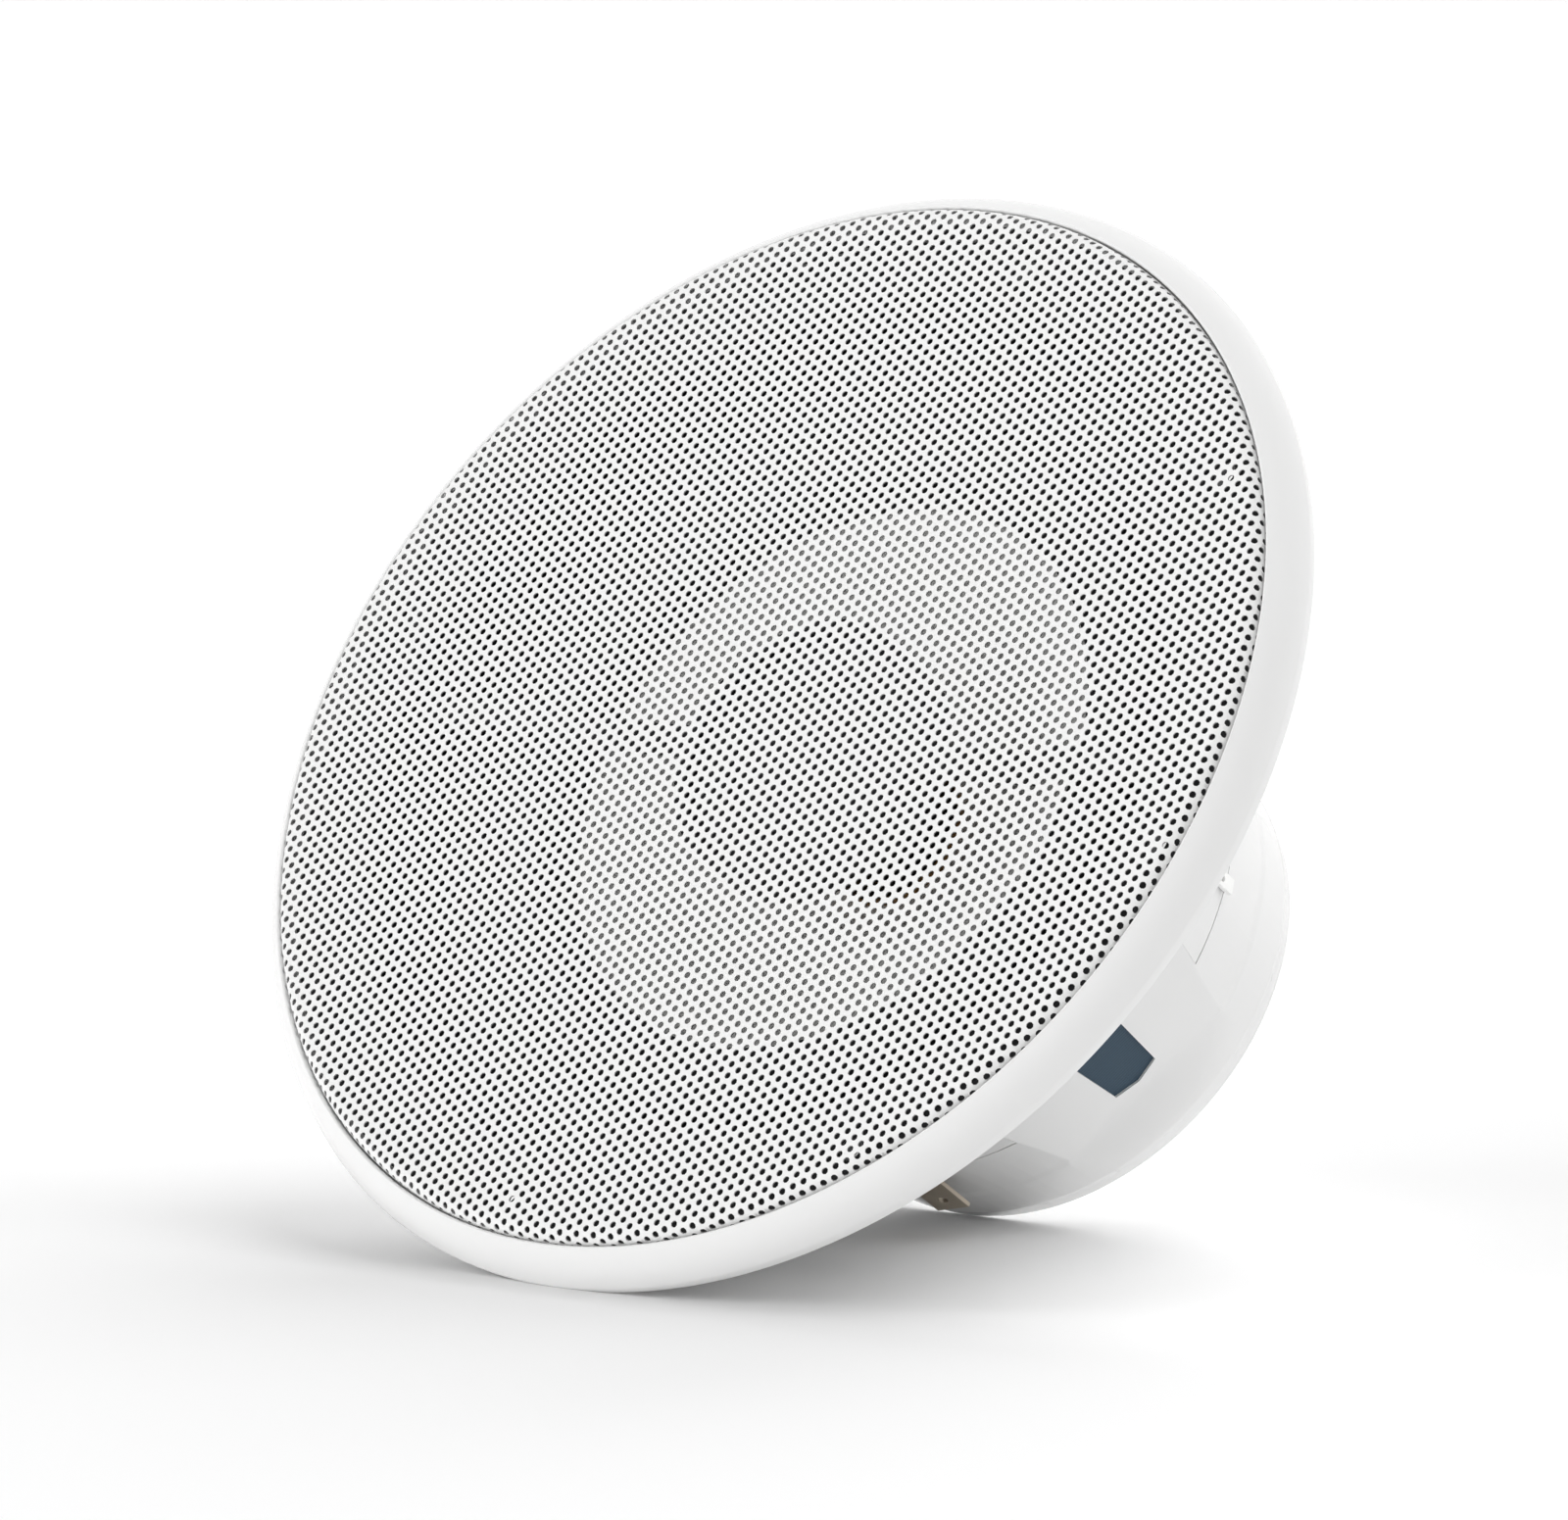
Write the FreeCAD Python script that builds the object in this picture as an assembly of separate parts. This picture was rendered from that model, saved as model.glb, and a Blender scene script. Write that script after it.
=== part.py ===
import FreeCAD
import Part
import math
import os

# Marine coaxial speaker, face up, standing on the flat back of its motor cover.
# Millimetres. +Z is the speaker axis, towards the listener.
# z = 0 is the flange's rear face, which lies on the panel.
# The flat with the vent window that faces -Y is the one a viewer sees first.

Vector = FreeCAD.Vector
AXIS = Vector(0, 0, 1)
CENTRE = Vector(0, 0, 0)

# Clearances
CLEARANCE = 0.3
SNUG = 0.1
MAGNET_GAP = 0.4
SEAM_GAP = 0.4

# Grille ring
RING_RADIUS = 100.4
RING_WIDEST_Z = 1.5
RING_FOOT_DRAFT = 0.3
RING_FACE_WIDTH = 4.4
RING_LIP_HEIGHT = 4.5
RING_LIP_ROUND = 0.5
RING_BULGE = 0.75
RING_SKIRT = 3.3
SHELF_THICKNESS = 1.4
SHELF_WIDTH = 4.2

# Flange, mounting holes and gasket, from the ring inwards
FLANGE_THICKNESS = 3.0
SEAL_MARGIN = 1.3
SEAL_WIDTH = 5.0
SEAL_THICKNESS = 1.2
SCREW_FROM_SEAL = 3.0
SCREW_HOLE_RADIUS = 2.25
SCREW_HOLE_COUNT = 8
CUTOUT_FROM_SCREWS = 3.2

# Perforated grille: a coarse hole pattern with the open share of the fine one
MESH_RISE = 6.0
MESH_SHEET = 0.8
MESH_DROP = 1.7
MESH_ROLL = 2.2
MESH_ROLL_STEPS = 3
MESH_GROOVE = 0.5
MESH_HOLE_PITCH = 19.6
MESH_HOLE_SHARE = 0.6
MESH_MARGIN = 3.0

# Basket
DISH_WALL = 2.3
DISH_DRAFT = 1.5
LANDING_DEPTH = 14.0
LANDING_THICKNESS = 2.5
LANDING_WIDTH = 5.5
CONE_WALL_STEP = 2.0
CONE_WALL_DROP = 3.0
BASKET_WALL = 2.1
CONE_WALL_ACROSS = 3.2
SPIDER_DROP = 4.5
SHELF_SEAT = 5.0
SHELF_DEPTH = 2.5
SHOULDER_DROP = 5.0
FLOOR_DROP = 8.0
FLOOR_THICKNESS = 2.5
FLOOR_BORE_ROOM = 5.25
ARM_COUNT = 8
BASKET_WINDOW_MARGIN = 3.0
BASKET_WINDOW_TOP_HALF = 9.5
BASKET_WINDOW_LOW_HALF = 7.5
BASKET_WINDOW_ROUND = 2.5
RIB_WIDTH = 2.0
RIB_PROUD = 3.4
RIB_ROOT = 1.0

# Main motor
POLE_RADIUS = 12.5
POLE_BORE_RADIUS = 2.6
POLE_RISE = 1.0
MAGNET_RADIUS = 40.0
MAGNET_BORE_ROOM = 5.85
MAGNET_THICKNESS = 20.0
PLATE_STEP = 3.0
TOP_PLATE_THICKNESS = 6.0
BACK_PLATE_THICKNESS = 6.5
MOTOR_SCREW_INSET = 7.0
MOTOR_SCREW_COUNT = 4
MOTOR_SCREW_RADIUS = 2.0
MOTOR_SCREW_HEAD_RADIUS = 3.6
MOTOR_SCREW_HEAD = 2.2

# Motor cover with four flats, each with a vent window
SEAM_DROP = 11.0
BODY_TAPER = 5.4
BACK_ROOM = 2.0
BACK_ROUND = 1.5
BACK_ROUND_STEPS = 3
COVER_WALL = 2.0
MAGNET_ROOM = 2.29
FLAT_COUNT = 4
FLAT_DEPTH = 4.4
FLAT_LENGTH = 14.0
FLAT_TAPER = 1.81
FLAT_RAMP = 9.0
SPIGOT_HEIGHT = 3.0
SPIGOT_OVERLAP = 4.5
SPIGOT_WALL = 1.7
WINDOW_MARGIN = 2.5
WINDOW_BELOW_SEAM = 10.7
WINDOW_TOP_HALF = 5.9
WINDOW_LOW_HALF = 4.52
WINDOW_POINT = 1.3
WINDOW_LIP = 0.5
SCREEN_MARGIN = 1.4
SCREEN_THICKNESS = 0.8

# Moving parts
FORMER_WALL = 0.25
FORMER_PROUD = 2.0
COIL_HEIGHT = 12.0
COIL_WIRE = 0.6
CONE_DEPTH = 20.5
CONE_OPEN_RADIUS = 50.0
CONE_RIM_WIDTH = 2.6
CONE_THICKNESS = 0.9
CONE_COLLAR = 1.8
CONE_FLARE = 1.6

# Suspension
SURROUND_OVERLAP = 2.4
SURROUND_LIP = 3.3
SURROUND_ROLL_RADIUS = 5.7
SURROUND_OUTER_LIP = 5.1
SURROUND_THICKNESS = 1.0
SURROUND_STEPS = 8
SPIDER_THICKNESS = 0.8
SPIDER_RIM_RADIUS = 48.0
SPIDER_COLLAR = 3.55
SPIDER_WAVE_COUNT = 4
SPIDER_WAVE_HEIGHT = 2.4

# Front gasket ring on the dish
GASKET_THICKNESS = 1.2
GASKET_HOLE_MARGIN = 0.25

# Terminals: one wide and one narrow blade
BLADE_THICKNESS = 0.8
BLADE_ROOT_DROP = 1.0
BLADE_FOOT = 6.5
BLADE_HOLE_FROM_TIP = 3.25
POSITIVE_WIDTH = 6.3
POSITIVE_LENGTH = 23.0
POSITIVE_STANDOFF = 1.5
POSITIVE_SHIFT = 0.2
POSITIVE_HOLE_RADIUS = 0.85
POSITIVE_ANGLE = -45.0
NEGATIVE_WIDTH = 2.8
NEGATIVE_LENGTH = 13.7
NEGATIVE_STANDOFF = 0.7
NEGATIVE_SHIFT = -4.0
NEGATIVE_HOLE_RADIUS = 0.6
NEGATIVE_ANGLE = 45.0
BOSS_MARGIN = 1.8
BOSS_PROUD = 2.0
BOSS_HEIGHT = 6.5

# Tweeter on its post
POST_RADIUS = 8.0
POST_WALL = 1.8
POST_BASE = 3.0
POST_SOCKET = 5.5
POST_SCREW_RADIUS = 2.4
POST_SCREW_HEAD_RADIUS = 4.5
POST_SCREW_HEAD = 3.0
POD_RADIUS = 24.0
POD_FRONT_Z = -6.2
POD_RIM_HEIGHT = 6.8
POD_FUNNEL = 12.0
POD_NECK = 3.0
POD_NECK_WALL = 2.4
POD_RIM = 2.0
POD_RECESS = 2.3
POT_RADIUS = 13.9
POT_HEIGHT = 9.0
POT_WALL = 1.6
POT_FLOOR = 2.2
TWEETER_MAGNET_ROOM = 1.7
TWEETER_MAGNET_THICKNESS = 4.0
TWEETER_PLATE_THICKNESS = 2.2
DOME_ROOM = 1.3
DOME_RISE = 4.0
DOME_SKIN = 0.5
DOME_RIM_WIDTH = 3.9
FACEPLATE_ROOM = 1.0
FACEPLATE_THICKNESS = 1.8
BRIDGE_ANGLE = 32.4
BRIDGE_WIDTH = 5.0
BRIDGE_THICKNESS = 2.4
BRIDGE_STEP = 3.4
BRIDGE_STEP_RUN = 3.0
BRIDGE_RING_WALL = 2.5
CAPACITOR_ROOM = 1.7
CAPACITOR_LENGTH = 17.0
CAPACITOR_ROUND = 0.6

# Worked-out places, from the ring inwards
SHELF_BOTTOM_Z = FLANGE_THICKNESS
SHELF_TOP_Z = SHELF_BOTTOM_Z + SHELF_THICKNESS
RING_LIP_RADIUS = RING_RADIUS - RING_FACE_WIDTH
RING_LIP_Z = SHELF_BOTTOM_Z + RING_LIP_HEIGHT
LIP_WALL_RADIUS = RING_LIP_RADIUS - RING_LIP_ROUND
SHELF_INNER = LIP_WALL_RADIUS - SHELF_WIDTH
RING_SKIRT_RADIUS = RING_RADIUS - RING_SKIRT
FLANGE_RADIUS = RING_SKIRT_RADIUS - CLEARANCE
SEAL_RADIUS = FLANGE_RADIUS - SEAL_MARGIN
SEAL_INNER_RADIUS = SEAL_RADIUS - SEAL_WIDTH
SCREW_CIRCLE_RADIUS = SEAL_INNER_RADIUS - SCREW_FROM_SEAL
CUTOUT_RADIUS = SCREW_CIRCLE_RADIUS - CUTOUT_FROM_SCREWS
DISH_RADIUS = CUTOUT_RADIUS - DISH_WALL
CONE_WALL_TOP_RADIUS = DISH_RADIUS - DISH_DRAFT - CONE_WALL_STEP

# Worked-out places of the grille mesh
MESH_APEX_Z = SHELF_BOTTOM_Z + MESH_RISE
MESH_RADIUS = LIP_WALL_RADIUS - MESH_GROOVE
MESH_ROLL_RADIUS = MESH_RADIUS - MESH_ROLL
MESH_ROLL_Z = MESH_APEX_Z - MESH_DROP
MESH_SPHERE = (MESH_ROLL_RADIUS ** 2 + MESH_DROP ** 2) / (2 * MESH_DROP)
MESH_SPHERE_Z = MESH_APEX_Z - MESH_SPHERE

# Worked-out heights of the basket, from the front to the back
LANDING_Z = -LANDING_DEPTH
CONE_WALL_TOP_Z = LANDING_Z - CONE_WALL_DROP
CONE_RIM_Z = LANDING_Z - CLEARANCE
CONE_NECK_Z = LANDING_Z - CONE_DEPTH
FORMER_TOP_Z = CONE_NECK_Z + FORMER_PROUD
SHELF_Z = CONE_NECK_Z - SPIDER_DROP
BASKET_WINDOW_TOP_Z = CONE_WALL_TOP_Z - BASKET_WINDOW_MARGIN
BASKET_WINDOW_LOW_Z = SHELF_Z + BASKET_WINDOW_MARGIN
SHOULDER_Z = SHELF_Z - SHOULDER_DROP
FLOOR_Z = SHELF_Z - FLOOR_DROP
FLOOR_BOTTOM_Z = FLOOR_Z - FLOOR_THICKNESS
TOP_PLATE_Z = FLOOR_BOTTOM_Z - TOP_PLATE_THICKNESS
MAGNET_Z = TOP_PLATE_Z - MAGNET_THICKNESS
BACK_PLATE_Z = MAGNET_Z - BACK_PLATE_THICKNESS
POLE_TOP_Z = FLOOR_BOTTOM_Z + POLE_RISE

# Worked-out places of the cover and the terminals
BACK_Z = BACK_PLATE_Z - BACK_ROOM - COVER_WALL
SEAM_Z = FLOOR_Z - SEAM_DROP
FLAT_END_Z = SEAM_Z - FLAT_LENGTH
FLAT_END_DISTANCE = MAGNET_RADIUS + MAGNET_ROOM + COVER_WALL
FLAT_SEAM_DISTANCE = FLAT_END_DISTANCE + FLAT_TAPER
SEAM_RADIUS = FLAT_SEAM_DISTANCE + FLAT_DEPTH
BACK_RADIUS = SEAM_RADIUS - BODY_TAPER
WINDOW_TOP_Z = SHOULDER_Z - WINDOW_MARGIN
WINDOW_LOW_Z = SEAM_Z - WINDOW_BELOW_SEAM
BLADE_ROOT_Z = SHOULDER_Z - BLADE_ROOT_DROP
POSITIVE_DISTANCE = SEAM_RADIUS + POSITIVE_STANDOFF
POSITIVE_TIP_Z = BLADE_ROOT_Z - POSITIVE_LENGTH
NEGATIVE_DISTANCE = SEAM_RADIUS + NEGATIVE_STANDOFF
NEGATIVE_TIP_Z = BLADE_ROOT_Z - NEGATIVE_LENGTH

# Worked-out sizes of the motor and the moving parts
FORMER_INNER_RADIUS = POLE_RADIUS + MAGNET_GAP
FORMER_RADIUS = FORMER_INNER_RADIUS + FORMER_WALL
COIL_RADIUS = FORMER_RADIUS + COIL_WIRE
GAP_RADIUS = COIL_RADIUS + MAGNET_GAP
MAGNET_BORE_RADIUS = GAP_RADIUS + MAGNET_BORE_ROOM
FLOOR_BORE_RADIUS = COIL_RADIUS + FLOOR_BORE_ROOM
PLATE_RADIUS = MAGNET_RADIUS - PLATE_STEP
MOTOR_SCREW_CIRCLE_RADIUS = PLATE_RADIUS - MOTOR_SCREW_INSET
COIL_MIDDLE_Z = (FLOOR_BOTTOM_Z + TOP_PLATE_Z) / 2
COIL_LOW_Z = COIL_MIDDLE_Z - COIL_HEIGHT / 2
CONE_RIM_RADIUS = CONE_OPEN_RADIUS + CONE_RIM_WIDTH
SURROUND_INNER_RADIUS = CONE_RIM_RADIUS - SURROUND_OVERLAP
SURROUND_ROLL_CENTRE = SURROUND_INNER_RADIUS + SURROUND_LIP + SURROUND_ROLL_RADIUS
SURROUND_OUTER_RADIUS = SURROUND_ROLL_CENTRE + SURROUND_ROLL_RADIUS + SURROUND_OUTER_LIP
LANDING_INNER_RADIUS = SURROUND_OUTER_RADIUS - LANDING_WIDTH
SHELF_INNER_RADIUS = SPIDER_RIM_RADIUS - SHELF_SEAT
SPIDER_WAVE_INNER_RADIUS = FORMER_RADIUS + CLEARANCE + SPIDER_COLLAR

# Worked-out sizes of the tweeter
POST_BORE_RADIUS = POST_RADIUS - POST_WALL
BRIDGE_OPEN_RADIUS = POD_RADIUS - BRIDGE_RING_WALL
POD_FLARE_Z = POD_FRONT_Z - POD_RIM_HEIGHT
POD_NECK_TOP_Z = POD_FLARE_Z - POD_FUNNEL
POD_NECK_Z = POD_NECK_TOP_Z - POD_NECK
POD_NECK_RADIUS = POST_RADIUS + SNUG + POD_NECK_WALL
POST_TOP_Z = POD_NECK_Z + POST_SOCKET
POD_FLOOR_Z = POD_FRONT_Z - POD_RECESS
POT_LOW_Z = POD_FLOOR_Z - SNUG - POT_HEIGHT
TWEETER_MAGNET_RADIUS = POT_RADIUS - POT_WALL - TWEETER_MAGNET_ROOM
DOME_RADIUS = POT_RADIUS - DOME_ROOM
DOME_RIM_RADIUS = DOME_RADIUS + DOME_RIM_WIDTH
FACEPLATE_INNER_RADIUS = DOME_RADIUS + FACEPLATE_ROOM
CAPACITOR_RADIUS = POST_BORE_RADIUS - CAPACITOR_ROOM


def line(start, end):
    return Part.LineSegment(Vector(start[0], 0, start[1]), Vector(end[0], 0, end[1])).toShape()


def arc(start, middle, end):
    points = [Vector(r, 0, z) for r, z in (start, middle, end)]
    return Part.Arc(*points).toShape()


def cap_arc(sphere, middle_z, reach):
    """The arc of a spherical cap about a point on the axis, from the apex out to a radius."""
    circle = Part.Circle(Vector(0, 0, middle_z), Vector(0, -1, 0), sphere)
    circle.XAxis = Vector(1, 0, 0)
    return Part.ArcOfCircle(circle, math.acos(reach / sphere), math.pi / 2).toShape()


def turned_edges(edges):
    face = Part.Face(Part.Wire(edges))
    return face.revolve(CENTRE, AXIS, 360)


def turned(profile):
    """A solid of revolution from a closed list of (radius, z) corners."""
    corners = profile + profile[:1]
    return turned_edges([line(a, b) for a, b in zip(corners, corners[1:])])


def bow(centre, radius, first, last, steps):
    """Corners along a round stretch of a profile, from one angle to another in degrees."""
    angles = [math.radians(first + (last - first) * step / steps) for step in range(steps + 1)]
    return [(centre[0] + radius * math.cos(a), centre[1] + radius * math.sin(a)) for a in angles]


def disc(radius, low, high, bore=0.0):
    body = Part.makeCylinder(radius, high - low, Vector(0, 0, low))
    if bore:
        body = body.cut(Part.makeCylinder(bore, high - low, Vector(0, 0, low)))
    return body


def turned_by(shape, degrees):
    copy = shape.copy()
    copy.rotate(CENTRE, AXIS, degrees)
    return copy


def around(shape, count, first=0.0):
    """Copies of a shape, evenly spaced about the speaker axis."""
    return [turned_by(shape, first + step * 360.0 / count) for step in range(count)]


def peg(radius, low, high, distance):
    """An upright cylinder at a distance from the axis."""
    return Part.makeCylinder(radius, high - low, Vector(distance, 0, low))


def slab(outline, near, far):
    """An outline of (sideways, z) corners, extruded from near to far along +X."""
    points = [Vector(near, side, z) for side, z in outline]
    face = Part.Face(Part.makePolygon(points + points[:1]))
    return face.extrude(Vector(far - near, 0, 0))


def side_cut(outline, half_width):
    """An outline of (distance, z) corners in the XZ plane, extruded both ways along Y."""
    points = [Vector(distance, -half_width, z) for distance, z in outline]
    face = Part.Face(Part.makePolygon(points + points[:1]))
    return face.extrude(Vector(0, 2 * half_width, 0))


def rounded_sides(solid, radius):
    """Rounds a slab's four edges that run along +X."""
    edges = [edge for edge in solid.Edges if abs(edge.tangentAt(edge.FirstParameter).x) > 0.99]
    return solid.makeFillet(radius, edges)


def body_radius(z):
    """Radius of the tapered body that the basket's neck and the motor cover share."""
    slope = (SEAM_RADIUS - BACK_RADIUS) / (SEAM_Z - BACK_Z)
    return SEAM_RADIUS + slope * (z - SEAM_Z)


def flat_distance(z):
    """Distance of a flat's face from the axis."""
    slope = (FLAT_SEAM_DISTANCE - FLAT_END_DISTANCE) / (SEAM_Z - FLAT_END_Z)
    return FLAT_SEAM_DISTANCE + slope * (z - SEAM_Z)


def flat_half_width(z):
    """Half the width of a flat, where its face meets the tapered body."""
    return math.sqrt(body_radius(z) ** 2 - flat_distance(z) ** 2)


def tongue_slab(margin):
    """The stretch of a flat in front of the seam, from the middle of the body outwards."""
    low = SEAM_Z - SEAM_GAP
    top = SHOULDER_Z - CLEARANCE + margin
    low_half = flat_half_width(low) + margin
    top_half = flat_half_width(top) + margin
    outline = [(-low_half, low), (low_half, low), (top_half, top), (-top_half, top)]
    near = flat_distance(low) - COVER_WALL - CLEARANCE
    return slab(outline, near, RING_RADIUS)


def make_grille_ring():
    lip = (RING_LIP_RADIUS, RING_LIP_Z)
    lip_inner = (LIP_WALL_RADIUS, RING_LIP_Z - RING_LIP_ROUND)
    widest = (RING_RADIUS, RING_WIDEST_Z)
    run = (widest[0] - lip[0], widest[1] - lip[1])
    length = math.hypot(*run)
    bulge = RING_BULGE / length
    crown = ((lip[0] + widest[0]) / 2 - run[1] * bulge, (lip[1] + widest[1]) / 2 + run[0] * bulge)
    foot = [
        widest,
        (RING_RADIUS - RING_FOOT_DRAFT, 0),
        (RING_SKIRT_RADIUS, 0),
        (RING_SKIRT_RADIUS, SHELF_BOTTOM_Z),
        (SHELF_INNER, SHELF_BOTTOM_Z),
        (SHELF_INNER, SHELF_TOP_Z),
        (LIP_WALL_RADIUS, SHELF_TOP_Z),
        lip_inner,
    ]
    edges = [arc(lip, crown, widest)]
    edges += [line(a, b) for a, b in zip(foot, foot[1:])]
    edges.append(line(lip_inner, lip))
    return turned_edges(edges)


def mesh_skin(inset):
    """Spherical dome, rolled rim and skirt of one side of the sheet, from the apex outwards."""
    radius = MESH_SPHERE - inset
    apex = (0, MESH_SPHERE_Z + radius)
    edge = (MESH_ROLL_RADIUS, MESH_SPHERE_Z + math.sqrt(radius ** 2 - MESH_ROLL_RADIUS ** 2))
    roll_centre = (MESH_ROLL_RADIUS, MESH_ROLL_Z - MESH_ROLL)
    rim = bow(roll_centre, MESH_ROLL - inset, 90, 0, MESH_ROLL_STEPS)[1:]
    hem = (rim[-1][0], SHELF_TOP_Z)
    corners = [edge] + rim + [hem]
    edges = [cap_arc(radius, MESH_SPHERE_Z, MESH_ROLL_RADIUS)]
    edges += [line(a, b) for a, b in zip(corners, corners[1:])]
    return apex, hem, edges


def mesh_drill(x, y, radius):
    """A drill square to the sheet: it points away from the middle of the dome's sphere."""
    outward = Vector(x, y, math.sqrt(MESH_SPHERE ** 2 - x ** 2 - y ** 2)).normalize()
    start = Vector(0, 0, MESH_SPHERE_Z) + outward * (MESH_SPHERE - 2 * MESH_SHEET)
    return Part.makeCylinder(radius, 3 * MESH_SHEET, start, outward)


def make_grille_mesh():
    """A pressed sheet with a hexagonal pattern of holes, square to its dome."""
    apex, hem, top = mesh_skin(0)
    apex_under, hem_under, under = mesh_skin(MESH_SHEET)
    edges = top + [line(hem, hem_under)] + under[::-1] + [line(apex_under, apex)]
    sheet = turned_edges(Part.__sortEdges__(edges))
    hole_radius = MESH_HOLE_PITCH * MESH_HOLE_SHARE / 2
    reach = MESH_ROLL_RADIUS - MESH_MARGIN - hole_radius
    row_height = MESH_HOLE_PITCH * math.sqrt(0.75)
    rows = int(reach / row_height)
    columns = int(reach / MESH_HOLE_PITCH) + rows
    holes = []
    for row in range(-rows, rows + 1):
        for column in range(-columns, columns + 1):
            x = (column + row / 2) * MESH_HOLE_PITCH
            y = row * row_height
            if math.hypot(x, y) <= reach:
                holes.append(mesh_drill(x, y, hole_radius))
    return sheet.cut(Part.makeCompound(holes))


def screw_pegs(radius, low, high):
    """Pegs on the mounting circle, half a step off the flats."""
    post = peg(radius, low, high, SCREW_CIRCLE_RADIUS)
    return around(post, SCREW_HOLE_COUNT, 180.0 / SCREW_HOLE_COUNT)


def motor_screw_pegs(radius, low, high):
    """Pegs on the motor's screw circle, between the flats."""
    post = peg(radius, low, high, MOTOR_SCREW_CIRCLE_RADIUS)
    return around(post, MOTOR_SCREW_COUNT, 180.0 / MOTOR_SCREW_COUNT)


def make_mounting_seal():
    return disc(SEAL_RADIUS, 0, SEAL_THICKNESS, SEAL_INNER_RADIUS)


def basket_profile():
    """Flange, dish, surround landing, tapered wall, spider shelf, motor floor and neck."""
    landing_low = LANDING_Z - LANDING_THICKNESS
    shelf_low = SHELF_Z - SHELF_DEPTH
    shoulder = body_radius(SHOULDER_Z)
    slope = (CONE_WALL_TOP_RADIUS - shoulder) / (CONE_WALL_TOP_Z - SHOULDER_Z)

    def wall_inside(z):
        return shoulder + slope * (z - SHOULDER_Z) - CONE_WALL_ACROSS

    def neck_inside(z):
        return body_radius(z) - BASKET_WALL

    return [
        (CUTOUT_RADIUS, 0),
        (SEAL_INNER_RADIUS, 0),
        (SEAL_INNER_RADIUS, SEAL_THICKNESS),
        (SEAL_RADIUS, SEAL_THICKNESS),
        (SEAL_RADIUS, 0),
        (FLANGE_RADIUS, 0),
        (FLANGE_RADIUS, FLANGE_THICKNESS),
        (DISH_RADIUS, FLANGE_THICKNESS),
        (DISH_RADIUS - DISH_DRAFT, LANDING_Z),
        (LANDING_INNER_RADIUS, LANDING_Z),
        (LANDING_INNER_RADIUS, landing_low),
        (wall_inside(landing_low), landing_low),
        (wall_inside(SHELF_Z), SHELF_Z),
        (SHELF_INNER_RADIUS, SHELF_Z),
        (SHELF_INNER_RADIUS, shelf_low),
        (neck_inside(shelf_low) - BASKET_WALL, shelf_low),
        (neck_inside(FLOOR_Z), FLOOR_Z),
        (FLOOR_BORE_RADIUS, FLOOR_Z),
        (FLOOR_BORE_RADIUS, FLOOR_BOTTOM_Z),
        (neck_inside(FLOOR_BOTTOM_Z), FLOOR_BOTTOM_Z),
        (neck_inside(SEAM_Z), SEAM_Z),
        (SEAM_RADIUS, SEAM_Z),
        (shoulder, SHOULDER_Z),
        (CONE_WALL_TOP_RADIUS, CONE_WALL_TOP_Z),
        (CUTOUT_RADIUS - DISH_DRAFT, LANDING_Z),
    ]


def blade(width, distance, shift, tip, hole_radius, angle, margin=0.0):
    """An L-shaped push-on blade: it points rearwards, and its foot goes in through the wall."""
    inner = distance - BLADE_THICKNESS / 2 - margin
    thick = BLADE_THICKNESS + 2 * margin
    side = shift - width / 2 - margin
    across = width + 2 * margin
    top = BLADE_ROOT_Z + margin
    tab = Part.makeBox(thick, across, top - tip, Vector(inner, side, tip))
    foot_corner = Vector(inner - BLADE_FOOT, side, BLADE_ROOT_Z - BLADE_THICKNESS - margin)
    foot = Part.makeBox(BLADE_FOOT + thick, across, thick, foot_corner)
    shape = tab.fuse(foot).removeSplitter()
    if not margin:
        start = Vector(distance - BLADE_THICKNESS, shift, tip + BLADE_HOLE_FROM_TIP)
        drill = Part.makeCylinder(hole_radius, 2 * BLADE_THICKNESS, start, Vector(1, 0, 0))
        shape = shape.cut(drill)
    return turned_by(shape, angle)


def positive_blade(margin=0.0):
    return blade(POSITIVE_WIDTH, POSITIVE_DISTANCE, POSITIVE_SHIFT, POSITIVE_TIP_Z,
                 POSITIVE_HOLE_RADIUS, POSITIVE_ANGLE, margin)


def negative_blade(margin=0.0):
    return blade(NEGATIVE_WIDTH, NEGATIVE_DISTANCE, NEGATIVE_SHIFT, NEGATIVE_TIP_Z,
                 NEGATIVE_HOLE_RADIUS, NEGATIVE_ANGLE, margin)


def blade_boss(width, distance, shift, angle):
    """The moulded block on the neck that a blade is pressed into."""
    half = width / 2 + BOSS_MARGIN
    low = BLADE_ROOT_Z - BOSS_HEIGHT
    top = BLADE_ROOT_Z + BOSS_MARGIN
    near = body_radius(low) - BASKET_WALL
    outline = [(shift - half, low), (shift + half, low), (shift + half, top), (shift - half, top)]
    return turned_by(slab(outline, near, distance + BOSS_PROUD), angle)


def basket_rib():
    """A fin on the tapered wall, from under the dish down to the shoulder."""
    top = CONE_WALL_TOP_Z + RIB_ROOT
    low = SHOULDER_Z + RIB_ROOT
    shoulder = body_radius(SHOULDER_Z)
    return side_cut([
        (CONE_WALL_TOP_RADIUS - RIB_ROOT, top),
        (CONE_WALL_TOP_RADIUS + RIB_PROUD, top),
        (shoulder + RIB_PROUD / 2, low),
        (shoulder - RIB_ROOT, low),
    ], RIB_WIDTH / 2)


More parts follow.
